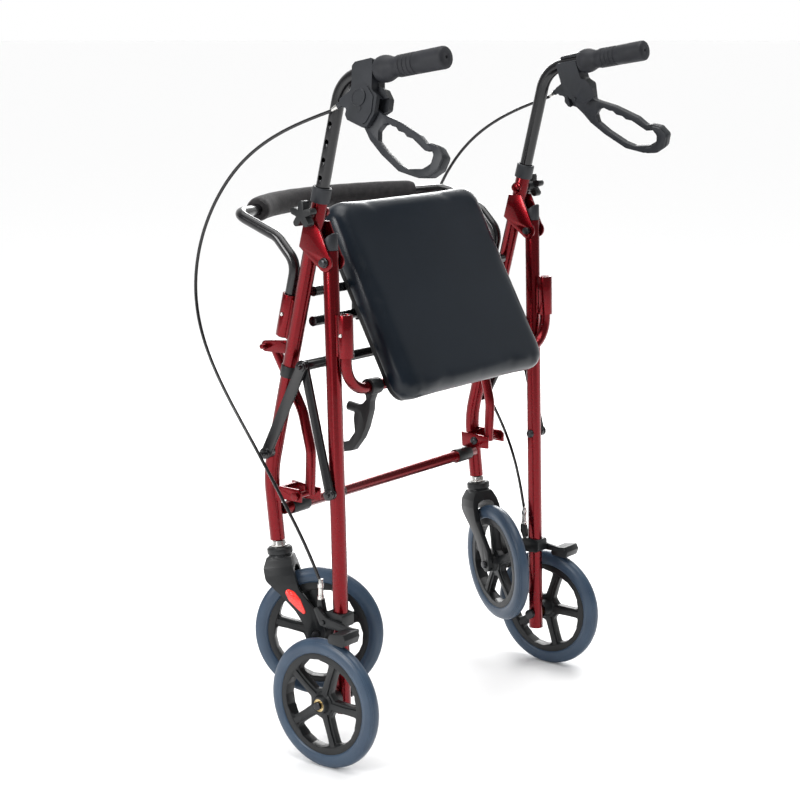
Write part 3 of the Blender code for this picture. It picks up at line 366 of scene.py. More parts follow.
def sweep(path, radius, sides=10):
    """Solid round bar along a polyline."""
    sides = max(20, sides * FINER)
    path = [Vector(p) for p in path]
    bm = bmesh.new()
    rings = []
    tangent = (path[1] - path[0]).normalized()
    normal = Vector((1, 0, 0))
    if abs(tangent.dot(normal)) > 0.9:
        normal = Vector((0, 0, 1))
    normal = (normal - tangent * normal.dot(tangent)).normalized()
    for index, point in enumerate(path):
        ahead = path[min(index + 1, len(path) - 1)] - point
        behind = point - path[max(index - 1, 0)]
        direction = (ahead.normalized() + behind.normalized()).normalized()
        normal = (normal - direction * normal.dot(direction)).normalized()
        side = direction.cross(normal)
        rings.append(circle(bm, point, normal, side, radius, sides))
    bridge(bm, rings)
    close_ends(bm, rings)
    return raw_object(bm)


def lathe(profile, origin, axis, sides=12, closed=False):
    """Revolve (radius, height) pairs about an axis; closed profiles make rings and sleeves."""
    sides = max(24, sides * FINER)
    origin = Vector(origin)
    axis = Vector(axis).normalized()
    helper = Vector((0, 0, 1)) if abs(axis.z) < 0.9 else Vector((1, 0, 0))
    u = axis.cross(helper).normalized()
    v = axis.cross(u)
    bm = bmesh.new()
    rings = []
    for radius, height in profile:
        if radius < 1e-6:
            rings.append([bm.verts.new(origin + axis * height)])
            continue
        rings.append(circle(bm, origin + axis * height, u, v, radius, sides))
    pairs = list(zip(rings, rings[1:]))
    if closed:
        pairs.append((rings[-1], rings[0]))
    for first, second in pairs:
        for k in range(sides):
            n = (k + 1) % sides
            if len(first) == 1:
                bm.faces.new((first[0], second[n], second[k]))
            elif len(second) == 1:
                bm.faces.new((first[k], first[n], second[0]))
            else:
                bm.faces.new((first[k], first[n], second[n], second[k]))
    if not closed:
        if len(rings[0]) > 1:
            bm.faces.new(rings[0][::-1])
        if len(rings[-1]) > 1:
            bm.faces.new(rings[-1])
    return raw_object(bm)


def rod(start, end, radius, sides=12):
    return sweep([start, end], radius, sides)


def crossbar(x_from, x_to, yz, radius, sides=12):
    """Round bar along x through a side-view point."""
    return rod(xyz(x_from, yz), xyz(x_to, yz), radius, sides)


def leg_rod(x, z_from, z_to, radius, sides=12, ahead=0):
    """Round bar along the front leg's centre line, or ahead of it, between two heights."""
    return rod(xyz(x, on_front_leg(z_from, ahead)), xyz(x, on_front_leg(z_to, ahead)), radius, sides)


def prism(outline, origin, u, v, depth):
    """Extrude a flat outline, given in the (u, v) plane, by the vector depth."""
    origin, u, v, depth = Vector(origin), Vector(u), Vector(v), Vector(depth)
    bm = bmesh.new()
    low = [bm.verts.new(origin + u * a + v * b) for a, b in outline]
    high = [bm.verts.new(origin + u * a + v * b + depth) for a, b in outline]
    close_ends(bm, (low, high))
    bridge(bm, (low, high))
    return raw_object(bm)


def soften(outline, radii, steps=2):
    """Round the corners of a closed 2-D outline."""
    steps = max(4, steps * FINER)
    if not isinstance(radii, (list, tuple)):
        radii = [radii] * len(outline)
    result = []
    count = len(outline)
    for index in range(count):
        corner = Vector(outline[index])
        before = Vector(outline[index - 1]) - corner
        after = Vector(outline[(index + 1) % count]) - corner
        half = before.angle(after) / 2
        limit = 0.48 * min(before.length, after.length) * tan(half)
        radius = min(radii[index], limit)
        if radius < 0.05 or half > radians(88):
            result.append(tuple(corner))
            continue
        before.normalize()
        after.normalize()
        reach = radius / tan(half)
        start = corner + before * reach
        end = corner + after * reach
        middle = corner + (before + after).normalized() * (radius / sin(half))
        a0 = atan2(start.y - middle.y, start.x - middle.x)
        a1 = atan2(end.y - middle.y, end.x - middle.x)
        sweep_angle = (a1 - a0 + pi) % (2 * pi) - pi
        for k in range(steps + 1):
            a = a0 + sweep_angle * k / steps
            result.append((middle.x + radius * cos(a), middle.y + radius * sin(a)))
    return result


def arc(centre, radius, start, end, steps):
    """Points on an arc, degrees."""
    steps *= FINER
    points = []
    for k in range(steps + 1):
        a = radians(start + (end - start) * k / steps)
        points.append((centre[0] + radius * cos(a), centre[1] + radius * sin(a)))
    return points


def slab(outline, x_from, x_to):
    """Side-view outline in (y, z), extruded between two x planes."""
    return prism(outline, (x_from, 0, 0), (0, 1, 0), (0, 0, 1), (x_to - x_from, 0, 0))


def bar_outline(a, b, half):
    """Side-view outline of a flat bar with round ends around the points a and b."""
    angle = degrees(atan2(b[1] - a[1], b[0] - a[0]))
    return arc(b, half, angle - 90, angle + 90, 5) + arc(a, half, angle + 90, angle + 270, 5)


def smooth_route(points, spacing):
    """Evenly spaced points on a Catmull-Rom curve through the given points."""
    points = [Vector(p) for p in points]
    ends = [2 * points[0] - points[1]] + points + [2 * points[-1] - points[-2]]
    fine = []
    for i in range(1, len(ends) - 2):
        p0, p1, p2, p3 = ends[i - 1:i + 3]
        for k in range(24):
            t = k / 24
            fine.append(0.5 * ((2 * p1) + (p2 - p0) * t + (2 * p0 - 5 * p1 + 4 * p2 - p3) * t * t
                               + (3 * p1 - p0 - 3 * p2 + p3) * t * t * t))
    fine.append(points[-1])
    total = sum((b - a).length for a, b in zip(fine, fine[1:]))
    count = max(2, round(total / spacing))
    route = [fine[0]]
    walked, target, index = 0, total / count, 0
    while len(route) < count and index < len(fine) - 1:
        step = (fine[index + 1] - fine[index]).length
        if walked + step >= target * len(route):
            share = (target * len(route) - walked) / step
            route.append(fine[index].lerp(fine[index + 1], share))
        else:
            walked += step
            index += 1
    route.append(fine[-1])
    return route


def lerp2(a, b, t):
    return (a[0] + (b[0] - a[0]) * t, a[1] + (b[1] - a[1]) * t)


def on_front_leg(z, forward=0):
    """(y, z) on the straight upper part of the front leg, moved forward at right angles to it."""
    t = (FRONT_TOP[1] - z) / (FRONT_TOP[1] - FRONT_BEND[1])
    y, z = lerp2(FRONT_TOP, FRONT_BEND, t)
    dy, dz = FRONT_BEND[0] - FRONT_TOP[0], FRONT_BEND[1] - FRONT_TOP[1]
    length = hypot(dy, dz)
    return (y - dz / length * forward, z + dy / length * forward)


def on_rear_leg(z):
    t = (REAR_TOP[1] - z) / (REAR_TOP[1] - REAR_BOTTOM[1])
    return lerp2(REAR_TOP, REAR_BOTTOM, t)


def xyz(x, yz):
    return (x, yz[0], yz[1])


# ---------------------------------------------------------------- front frame
def front_leg(side, label):
    x = side * SIDE_X
    leg = sweep(fillet([xyz(x, FRONT_TOP), xyz(x, FRONT_BEND), xyz(x, FRONT_BOTTOM)], [150]), FRAME_R, 12)
    # round socket and web that hold the backrest bar
    socket_x = x + side * SOCKET_SHIFT
    socket = leg_rod(socket_x, 664, 604, 11.2, 12, SOCKET_AHEAD)
    low, high = on_front_leg(598), on_front_leg(654)
    low2, high2 = on_front_leg(606, SOCKET_AHEAD - 2), on_front_leg(661, SOCKET_AHEAD - 2)
    web = slab([low, low2, high2, high], x - 4, x + 4)
    # two hinge plates with a weld pad each, carrying the fold pivot
    plate_line = arc(HINGE, 12.5, 128, 318, 5)
    plate = [(27, 776)] + plate_line + [(41, 726), (59.5, 741), (50.5, 776)]
    pad = [on_front_leg(772, -5), on_front_leg(772, 5), on_front_leg(744, 5), on_front_leg(744, -5)]
    unite(leg, slab(pad, x - 13, x + 13))
    for face in (-1, 1):
        inner = x + face * (FRAME_R + 0.4)
        unite(leg, slab(plate, inner, inner + face * 3))
    # forward lug for the top of the inner support tube
    lug = [(88, 582)] + arc(EAR, 8, -90, 90, 4) + [(84, 603)]
    inboard = x - side * 7
    unite(leg, socket, web, slab(lug, inboard, inboard - side * 4))
    # channel at the bottom of the support tube: outer flange, inner flange and back web
    flange = [(68.5, 371), (68.5, 384), (74, 389), (126, 389), (122, 371)]
    inner_flange = [(69, 366), (69, 385), (122, 388), (120, 364)]
    unite(leg, slab(flange, x + side * 3, x + side * 6))
    unite(leg, slab(inner_flange, x - side * 36, x - side * 39))
    unite(leg, slab([(112, 366), (112, 387), (116, 387), (116, 366)], x + side * 4, x - side * 37.5))
    # inboard saddle and bolt head opposite the clamp knob
    saddle_at = xyz(x, on_front_leg(KNOB_Z))
    unite(leg, lathe([(0, -10.4001), (8, -10.4), (8, -13.6), (5.8, -13.6), (5.8, -18.4), (0, -18.4)], saddle_at,
                     (side, 0, 0), 10))
    # bores: handle tube, backrest bar, caster stem, fold pivot, support-tube bolts
    cut(leg, leg_rod(x, 830, 486, LEG_BORE_R, 10))
    cut(leg, leg_rod(socket_x, 678, 590, BAR_R + 0.5, 10, SOCKET_AHEAD))
    cut(leg, crossbar(x - 20, x + 20, HINGE, 4.4, 10))
    cut(leg, crossbar(x - side * 20, x, EAR, 3.9, 10))
    cut(leg, crossbar(x, x + side * 12, FOOT, 3.4, 10))
    down = Vector((0, -sin(STEM_LEAN), -cos(STEM_LEAN)))
    mouth = Vector(xyz(x, STEM_TOP))
    cut(leg, rod(mouth - down * 60, mouth - down * 4, 5.6, 8))
    # cross holes: clamp knob stud, and the backrest snap button
    cut(leg, crossbar(x, x + side * 20, on_front_leg(KNOB_Z), 3.6, 8))
    button = Vector(xyz(socket_x, on_front_leg(BUTTON_Z, SOCKET_AHEAD)))
    cut(leg, rod(button, button + Vector((side * 24, 0, 0)), 3.2, 8))
    settle(leg, "front_leg_" + label, "red")


def support_tube(side, label):
    x = side * (SIDE_X - 25)
    path = fillet([xyz(x, EAR), (x, 90, 497), (x, 75, 440), (x, 77.5, 377)], [60, 60])
    tube = sweep(path, 7.6, 8)
    eye = crossbar(x + side * 13.5, x - side * 8, EAR, 7, 10)
    foot = crossbar(x - side * 10.6, x + side * 27.6, FOOT, 4, 8)
    heads = crossbar(x + side * 31.5, x + side * 36, FOOT, 6, 8)
    bolt = crossbar(x + side * 12, x + side * 27, EAR, 3.5, 8)
    tip = crossbar(x + side * 26, x + side * 32.5, FOOT, 3, 8)
    unite(tube, eye, foot, bolt, tip, heads)
    settle(tube, "support_tube_" + label, "red")


def lower_cross_tube():
    half = SIDE_X - FRAME_R - 0.5
    tube = crossbar(-half, half, CROSS_TUBE, 8.6)
    for side in (-1, 1):
        unite(tube, crossbar(side * (SIDE_X - 62), side * (SIDE_X - 26), CROSS_TUBE, 10.5))
    settle(tube, "lower_cross_tube", "red")


def collar(side, label):
    axis = Vector(xyz(0, on_front_leg(700))) - Vector(xyz(0, on_front_leg(800)))
    base = xyz(side * SIDE_X, on_front_leg(824))
    profile = [(10.1, 0), (12.6, 0), (13.6, 1.5), (13.8, 21.5), (11.5, 21.5), (11.5, 13.2), (10.1, 13.2)]
    ring = lathe(profile, base, axis, 12, closed=True)
    settle(ring, "handle_collar_" + label, "grey_plastic")


def hinge_bolt(side, label):
    x = side * SIDE_X
    y, z = HINGE
    profile = [(0, -20.5), (5.6, -20.5), (5.6, -15), (4, -15), (4, 15), (7.2, 15), (7.2, 16.6), (5.6, 16.6),
               (5.6, 20.8), (3, 21.6), (0, 21.6)]
    bolt = lathe(profile, (x, y, z), (side, 0, 0), 12)
    settle(bolt, "hinge_bolt_" + label, "dark_steel")


BACKREST_ARCH = ((186, 206), (150, 226), (110, 242), (60, 254.5), (20, 258.5))
BACKREST_Z = 776


def backrest_path():
    """Centre line of the backrest bar, from the left socket over the arch to the right socket."""
    socket_x = SIDE_X + SOCKET_SHIFT
    side_line = [xyz(socket_x, on_front_leg(602, SOCKET_AHEAD)), xyz(socket_x, on_front_leg(708, SOCKET_AHEAD)),
                 (socket_x, 114, 749), (socket_x + 3, 188, 777), (186, 206, BACKREST_Z)]
    bent = fillet(side_line, [30, 30, 24])
    right = bent + [Vector((x, y, BACKREST_Z)) for x, y in BACKREST_ARCH[1:]]
    left = [Vector((-p.x, p.y, p.z)) for p in right]
    return left + right[::-1]


def backrest_bar():
    bar = sweep(backrest_path(), BAR_R)
    for side in (-1, 1):
        hole = Vector(xyz(side * (SIDE_X + SOCKET_SHIFT), on_front_leg(BUTTON_Z, SOCKET_AHEAD)))
        cut(bar, rod(hole - Vector((side * 3, 0, 0)), hole + Vector((side * 12, 0, 0)), 3.2, 8))
    settle(bar, "backrest_bar", "gloss_black")


def snap_button(name, centre, direction, inside, outside):
    """Domed spring button standing in its hole; inside and outside are distances along direction."""
    centre, direction = Vector(centre), Vector(direction)
    profile = [(0, inside), (2.8, inside), (2.8, outside - 1.2), (1.8, outside - 0.2), (0, outside)]
    settle(lathe(profile, centre, direction, 8), name, "steel")


# ---------------------------------------------------------------- handles and brakes
def grip_frame(side):
    along = Vector((0, -cos(GRIP_RISE), sin(GRIP_RISE)))
    down = Vector((side * sin(BRAKE_SPLAY), 0, -cos(BRAKE_SPLAY)))
    down = (down - along * down.dot(along)).normalized()
    out = along.cross(down) * -side
    out = out if out.x * side > 0 else -out
    return Vector((side * SIDE_X, GRIP_MID[0], GRIP_MID[1])), along, down, out


def handle_path(side):
    """Centre line of the telescoping tube, bending back into the hand grip."""
    x = side * SIDE_X
    y, z = GRIP_MID
    rise = tan(GRIP_RISE)
    slope = (FRONT_BEND[0] - FRONT_TOP[0]) / (FRONT_TOP[1] - FRONT_BEND[1])
    zc = (z + rise * (y - FRONT_TOP[0] - slope * FRONT_TOP[1])) / (1 - rise * slope)
    yc = FRONT_TOP[0] + slope * (FRONT_TOP[1] - zc)
    end = (x, y - 98 * cos(GRIP_RISE), z + 98 * sin(GRIP_RISE))
    return fillet([xyz(x, on_front_leg(648)), (x, yc, zc), end], [48])


def handle_tube(side, label):
    x = side * SIDE_X
    tube = sweep(handle_path(side), HANDLE_R)
    cut(tube, sweep([xyz(x, on_front_leg(640)), xyz(x, on_front_leg(905))], 7.9, 8))
    for k in range(1, 6):
        yy, zz = on_front_leg(KNOB_Z + HOLE_PITCH * k * 0.97)
        cut(tube, rod((x, yy, zz), (x + side * 14, yy, zz), 3.4, 6))
    settle(tube, "handle_tube_" + label, "gloss_black")


def lever_pivot(side):
    origin, along, down, out = grip_frame(side)
    return origin + along * -26 + down * 52, out


def clamp_knob(side, label):
    x = side * SIDE_X
    y, z = on_front_leg(KNOB_Z)
    lobes = []
    for k in range(5):
        a = 72 * k + 18
        tip = (cos(radians(a)) * 14, sin(radians(a)) * 14)
        lobes += arc(tip, 5, a - 75, a + 75, 3)
        b = radians(a + 36)
        lobes.append((cos(b) * 8.5, sin(b) * 8.5))
    star = prism(lobes, (x + side * 24, y, z), (0, 1, 0), (0, 0, 1), (side * 13, 0, 0))
    neck = lathe([(0, 10), (3, 10), (3, 14), (7, 14.6), (9, 25), (0, 25)], (x, y, z), (side, 0, 0), 10)
    unite(star, neck)
    settle(star, "clamp_knob_" + label, "black_plastic")


# ---------------------------------------------------------------- rear frame
def rear_leg(side, label):
    x = side * SIDE_X
    leg = rod(xyz(x, REAR_TOP), xyz(x, REAR_BOTTOM), FRAME_R, 12)
    top, bottom = on_rear_leg(650), on_rear_leg(590)
    socket = rod((x, top[0] - REAR_SOCKET, 650), (x, bottom[0] - REAR_SOCKET, 590), FRAME_R, 12)
    web = slab([(top[0], 649), (bottom[0], 591), (bottom[0] - REAR_SOCKET, 591), (top[0] - REAR_SOCKET, 649)],
               x - 5, x + 5)
    unite(leg, socket, web)
    cut(leg, rod((x, top[0] - 22.7, 660), (x, bottom[0] - 23.3, 580), BAR_R + 0.5))
    # the pivot bolt passes straight through
    cut(leg, crossbar(x - 16, x + 16, HINGE, 4.4, 10))
    cut(leg, crossbar(x - 20, x + 20, AXLE, 4.4, 10))
    hole = Vector((x, on_rear_leg(SEAT_BUTTON_Z)[0] - REAR_SOCKET, SEAT_BUTTON_Z))
    cut(leg, rod(hole, hole + Vector((side * 24, 0, 0)), 3.2, 8))
    # open bottom end
    cut(leg, rod(xyz(x, REAR_BOTTOM), xyz(x, on_rear_leg(82)), 9.6, 12))
    settle(leg, "rear_leg_" + label, "red")


def rear_leg_cap(side, label):
    x = side * SIDE_X
    base = Vector(xyz(x, on_rear_leg(737.5)))
    cap = lathe([(0, 0), (FRAME_R, 0), (FRAME_R, 22.5), (9.6, 25), (0, 25)], base, (0, 0.028, 1))
    # the slanted front face lies flat against the front leg when the walker is open
    clear = radians(13.75 + FOLD_OPEN)
    normal = Vector((cos(clear), sin(clear)))
    along = Vector((-normal.y, normal.x))
    foot = Vector(HINGE) + normal * 26.3
    wedge = [foot - along * 40, foot + along * 40, foot + along * 40 + normal * 40, foot - along * 40 + normal * 40]
    cut(cap, slab([tuple(w) for w in wedge], x - 20, x + 20))
    settle(cap, "rear_leg_cap_" + label, "grey_plastic")


def seat_bar():
    y0 = on_rear_leg(646)[0] - REAR_SOCKET
    y1 = on_rear_leg(590)[0] - REAR_SOCKET
    points = [(-SIDE_X, y0, 646), (-SIDE_X, y1, 588), (-SIDE_X, SEAT_BAR[0], 541), (SIDE_X, SEAT_BAR[0], 541),
              (SIDE_X, y1, 588), (SIDE_X, y0, 646)]
    bar = sweep(fillet(points, [0, 42, 42, 0]), BAR_R)
    for side in (-1, 1):
        hole = Vector((side * SIDE_X, on_rear_leg(SEAT_BUTTON_Z)[0] - REAR_SOCKET, SEAT_BUTTON_Z))
        cut(bar, rod(hole - Vector((side * 3, 0, 0)), hole + Vector((side * 12, 0, 0)), 3.2, 8))
    settle(bar, "seat_bar", "red")


def rear_axle(side, label):
    y, z = AXLE
    profile = [(0, 229), (7.6, 229), (7.6, 235.2), (4, 235.3), (4, 301.5), (6, 301.8), (6, 304.5), (3.5, 305.5),
               (0, 305.5)]
    bolt = lathe(profile, (0, y, z), (side, 0, 0), 12)
    settle(bolt, "rear_axle_" + label, "dark_steel")


BRAKE_PIVOT = (16.5, 206)


def brake_arm(side, label):
    x = side * SIDE_X
    py, pz = BRAKE_PIVOT
    rocker = soften([(py + 18, pz + 17), (py + 12, pz + 21), (py - 6, pz + 7), (-34, pz + 1), (-46, pz + 2),
                     (-46, pz - 4), (-34, pz - 6.5), (py - 6, pz - 7), (py + 6, pz - 5)], 2.5, 2)
    plate = slab(rocker, x + side * 15.4, x + side * 20.4)
    cut(plate, rod((x, py, pz), (x + side * 40, py, pz), 3.35, 12))
    shoe = [(-46, 208), (-22, 204), (-18, 196.5), (-20, 191), (-46, 189.5), (-50, 200)]
    unite(plate, slab(soften(shoe, 2, 2), x + side * 19, x + side * 52))
    settle(plate, "brake_arm_" + label, "black_plastic")


# ---------------------------------------------------------------- casters
def caster_frame(side):
    down = Vector((0, -sin(STEM_LEAN), -cos(STEM_LEAN)))
    back = Vector((0, -cos(STEM_LEAN), sin(STEM_LEAN)))
    turn = CASTER_TURN[side]
    trail = back * cos(turn) + Vector((-side, 0, 0)) * sin(turn)
    across = down.cross(trail)
    top = Vector(xyz(side * SIDE_X, STEM_TOP))
    return top, down, trail, across, top + trail * CASTER_TRAIL + down * CASTER_DROP


def caster_axle(side, label):
    _, _, _, across, centre = caster_frame(side)
    profile = [(0, -28), (5.6, -28), (6.4, -24), (4, -23.9), (4, 23.9), (6.4, 24), (5.6, 28), (0, 28)]
    settle(lathe(profile, centre, across, 12), "caster_axle_" + label, "dark_steel")


# ---------------------------------------------------------------- knee brace
def front_brace(side, label):
    """Outer flat bar of the knee brace, with its pivot bosses and the knee nut."""
    bar = slab(bar_outline(BRACE_FRONT, KNEE, 8.5), side * 266.8, side * 270.8)
    for point, x0, x1, radius in ((BRACE_FRONT, SIDE_X + FRAME_R + 0.4, 267.5, 8), (BRACE_FRONT, 270, 274.5, 8),
                                  (BRACE_FRONT, 274, 280.5, 3.6), (KNEE, 270, 273.4, 7.4), (KNEE, 273, 279, 4.2)):
        unite(bar, crossbar(side * x0, side * x1, point, radius))
    settle(bar, "brace_front_" + label, "gloss_black")


def rear_brace(side, label):
    """Inner flat bar of the knee brace, running between the knee cross bar and the outer bar."""
    bar = slab(bar_outline(BRACE_REAR, KNEE, 7), side * 261.8, side * 265.8)
    for x0, x1, radius in ((SIDE_X + FRAME_R + 0.4, 262.4, 8), (265, 268.8, 8), (268.5, 272.5, 3.6)):
        unite(bar, crossbar(side * x0, side * x1, BRACE_REAR, radius))
    settle(bar, "brace_rear_" + label, "gloss_black")


def knee_bar():
    bar = crossbar(-261.2, 261.2, KNEE, 7.4)
    settle(bar, "knee_cross_bar", "gloss_black")


# ---------------------------------------------------------------- seat
SEAT_UP = Vector((0, sin(SEAT_LEAN), cos(SEAT_LEAN)))
SEAT_OUT = Vector((0, -cos(SEAT_LEAN), sin(SEAT_LEAN)))
SEAT_BASE = Vector(xyz(0, SEAT_BAR)) + SEAT_OUT * (BAR_R + 0.5)


def seat_board():
    across = Vector((1, 0, 0))
    w, low, high = SEAT_W / 2 - 5, -SEAT_BELOW + 5, SEAT_L - SEAT_BELOW - 5
    outline = soften([(-w, low), (w, low), (w, high), (-w, high)], 24, 3)
    board = prism(outline, SEAT_BASE, across, SEAT_UP, SEAT_OUT * BOARD_T)
    centre = Vector(xyz(0, SEAT_BAR))
    for x in (-112, 112):
        ring = rod(centre + across * (x - 14), centre + across * (x + 14), 12.2)
        unite(board, ring)
        foot = prism([(-14, -12), (14, -12), (14, 34), (-14, 34)], SEAT_BASE + across * x - SEAT_OUT * 3.4, across,
                     SEAT_UP, SEAT_OUT * 5)
        unite(board, foot)
    cut(board, rod(centre - across * 160, centre + across * 160, BAR_R + 0.35))
    settle(board, "seat_board", "black_plastic")


def seat_rails():
    upper, lower = (61, 674.4), (62, 631.6)
    rails = crossbar(-231, 231, upper, 7.2)
    unite(rails, crossbar(-231, 231, lower, 7.2))
    base = SEAT_BASE - SEAT_OUT * 0.3
    for x in (-130, 130):
        def on_seat(distance, drop):
            p = base + SEAT_UP * distance - SEAT_OUT * drop
            return (p.y, p.z)
        hanger = [on_seat(96, 0), on_seat(190, 0), on_seat(190, 5), (upper[0] + 6, upper[1] + 9),
                  (upper[0] + 11, upper[1] - 3), (lower[0] + 10, lower[1] - 1), (lower[0] + 2, lower[1] - 10.5),
                  on_seat(96, 5)]
        unite(rails, slab(hanger, x - 2, x + 2))
        foot = prism([(-9, 96), (9, 96), (9, 190), (-9, 190)], base + Vector((x, 0, 0)) - SEAT_OUT * 3, (1, 0, 0),
                     SEAT_UP, SEAT_OUT * 3)
        unite(rails, foot)
    settle(rails, "seat_rails", "gloss_black")


def fold_hook():
    x0, x1 = -200, -178
    y, z = SEAT_BAR
    clamp = rod((x0, y, z), (x1, y, z), 12, 14)
    body = slab(soften([(-20, 536), (-4, 534), (-6, 522), (2, 514), (14, 512), (17, 492), (15, 472), (26, 458),
                        (44, 452), (56, 455), (58, 446), (42, 439), (20, 444), (4, 464), (-4, 480), (-12, 506),
                        (-13, 520)], 4, 1), -196, -183)
    stub = rod((-189.5, 4, 505), (-189.5, 30, 508), 7, 12)
    unite(clamp, body, stub)
    cut(clamp, rod((x0 - 20, y, z), (x1 + 20, y, z), BAR_R + 0.35))
    settle(clamp, "fold_hook", "black_plastic")


# ---------------------------------------------------------------- pieces with their own detail
def grip(side, label):
    """Rubber hand grip: bulge, finger waist, ribs towards the end and a drain hole."""
    origin, along, _, _ = grip_frame(side)
    profile = [(10.2, -5), (14.6, -5), (15.6, -4), (17.2, -1), (18.1, 3), (18.4, 7), (18, 11), (16.8, 15),
               (15.2, 19), (14, 22.5), (13.7, 25.5), (14.2, 29), (14.8, 31)]
    for k in range(4):
        s = 33 + 7 * k
        profile += [(14.9, s), (14.9, s + 4.2), (14, s + 4.9), (14, s + 6.3)]
    profile += [(14.9, 61.5), (15, 80), (15.2, 103), (14.8, 106.2), (13.4, 108), (3, 108.5), (2.2, 107.8),
                (2.2, 99.5), (10.2, 99.5)]
    settle(lathe(profile, origin, along, 14, closed=True), "grip_" + label, "rubber", bevel=0, angle=50)


def tyre(name, centre, axis):
    """Solid tyre with rounded shoulders and a moulding line on each side."""
    half = [(74.4, 8.6), (76, 9.6), (77.2, 10.4), (77.8, 10.3), (78.6, 10.7), (82, 11.1), (85.5, 11), (89, 10),
            (91, 8.8), (90.9, 8.2), (91.4, 7.9), (92.4, 7.5), (93.3, 6.3), (93, 5.8), (93.5, 5.4), (94.3, 4.3),
            (94.8, 2.2), (95, 0)]
    profile = half + [(r, -z) for r, z in reversed(half[:-1])]
    settle(lathe(profile, centre, axis, 32, closed=True), name, "tyre", bevel=0, angle=60)


def hub(name, centre, axis, forward, inner_half, outer_half, bore):
    """Five-spoke wheel centre with a lipped rim, ribbed spokes and a stepped boss."""
    centre, axis = Vector(centre), Vector(axis).normalized()
    u = (Vector(forward) - axis * Vector(forward).dot(axis)).normalized()
    v = axis.cross(u)
    rim = lathe([(0, -5), (61, -5), (64.5, -8.6), (74.3, -8.6), (74.3, 8.6), (64.5, 8.6), (61, 5), (0, 5)], centre,
                axis, 32)
    for k in range(5):
        mid = 36 + 72 * k
        window = []
        for angle, radius in ((-29, 62.5), (-14, 65.8), (0, 66.6), (14, 65.8), (29, 62.5), (27, 45), (16, 22.5),
                              (-16, 22.5), (-27, 45)):
            a = radians(mid + angle)
            window.append((radius * cos(a), radius * sin(a)))
        cut(rim, prism(soften(window, 4.5, 1), centre - axis * 20, u, v, axis * 40))
        a = radians(72 * k)
        reach = u * cos(a) + v * sin(a)
        width = u * -sin(a) + v * cos(a)
        spoke = [(12, -4.6), (40, -3.4), (66, -4.4), (66, 4.4), (40, 3.4), (12, 4.6)]
        unite(rim, prism(spoke, centre - axis * 7.6, reach, width, axis * 15.2))
    boss = lathe([(0, -inner_half), (12, -inner_half), (12.6, -inner_half + 1), (14, -8), (18, -6.6), (18, 6.6),
                  (14, 8), (12.6, outer_half - 1), (12, outer_half), (0, outer_half)], centre, axis, 14)
    unite(rim, boss)
    for face, half in ((-1, inner_half), (1, outer_half)):
        end = centre + axis * (face * half)
        cut(rim, rod(end - axis * (face * 4), end + axis * (face * 6), 9.6, 14))
    cut(rim, rod(centre - axis * 40, centre + axis * 40, bore, 12))
    settle(rim, name, "black_plastic", bevel=0.6)
    for face, half in ((-1, inner_half), (1, outer_half)):
        race = [(9.4, 0), (9.4, 2.6), (7.6, 2.8), (7.2, 1.8), (5.9, 1.8), (5.6, 2.8), (4.4, 2.8), (4.4, 0)]
        place = centre + axis * (face * (half - 3.8))
        settle(lathe(race, place, axis * face, 12, closed=True), name + "_bearing_" + ("in" if face < 0 else "out"),
               "brass", bevel=0, body=BODY_OF[name])


def brake_lever(side, label):
    """Loop lever with finger bumps inside its upper bar and a thick squeeze pad at its end."""
    origin, along, down, out = grip_frame(side)
    window = [(8, 76), (16, 75), (24, 80.5), (30, 82), (34, 88), (44, 92), (49, 98), (58, 101), (68, 110),
              (79, 120), (92, 121), (96, 128), (92, 138), (76, 143.5), (52, 141), (38, 133), (14, 112), (0, 96),
              (0, 83)]
    outer = [(-34, 50), (-28, 44.5), (-14, 46), (6, 62), (36, 76), (70, 98), (82, 112), (90, 111.5), (104, 117),
             (113, 132), (105, 149), (88, 156), (64, 153), (36, 142), (6, 116), (-14, 94), (-22, 80), (-32, 66)]
    loop = prism(soften(outer, 9, 3), origin + out * -4.6, along, down, out * 9.2)
    cut(loop, prism(soften(window, 3.5, 1), origin + out * -20, along, down, out * 40))
    pad = [(89, 112.5), (103, 118), (112, 132), (104, 148), (88, 155), (70, 153), (69, 145), (79, 145.5),
           (93, 139.5), (97, 128.5), (93, 120.5)]
    unite(loop, prism(soften(pad, 6, 3), origin + out * -9, along, down, out * 18))
    settle(loop, "brake_lever_" + label, "grey_plastic", bevel=1.6)


def spring(name, start, end, radius, wire, turns, body):
    """Small coil spring between two points."""
    start, end = Vector(start), Vector(end)
    axis = (end - start).normalized()
    u = axis.orthogonal().normalized()
    v = axis.cross(u)
    path = []
    steps = turns * 12
    for k in range(steps + 1):
        a = 2 * pi * k / 12
        path.append(start.lerp(end, k / steps) + (u * cos(a) + v * sin(a)) * radius)
    settle(sweep(path, wire, 3), name, "steel", bevel=0, body=body, angle=60, clean=0)


def reflector(side, label):
    """Leaf-shaped red reflector let into the outer face of the fork."""
    top, down, trail, across, _ = caster_frame(side)
    outward = across if across.x * side > 0 else -across
    leaf = [(6, 62), (11, 57), (20, 62), (28, 74), (34, 94), (31, 97), (22, 88), (11, 75)]
    plate = prism(soften(leaf, 5, 2), top + outward * 22.6, trail, down, outward * 2.2)
    settle(plate, "reflector_" + label, "reflector", bevel=0.7, body=BODY_OF["caster_fork_" + label])


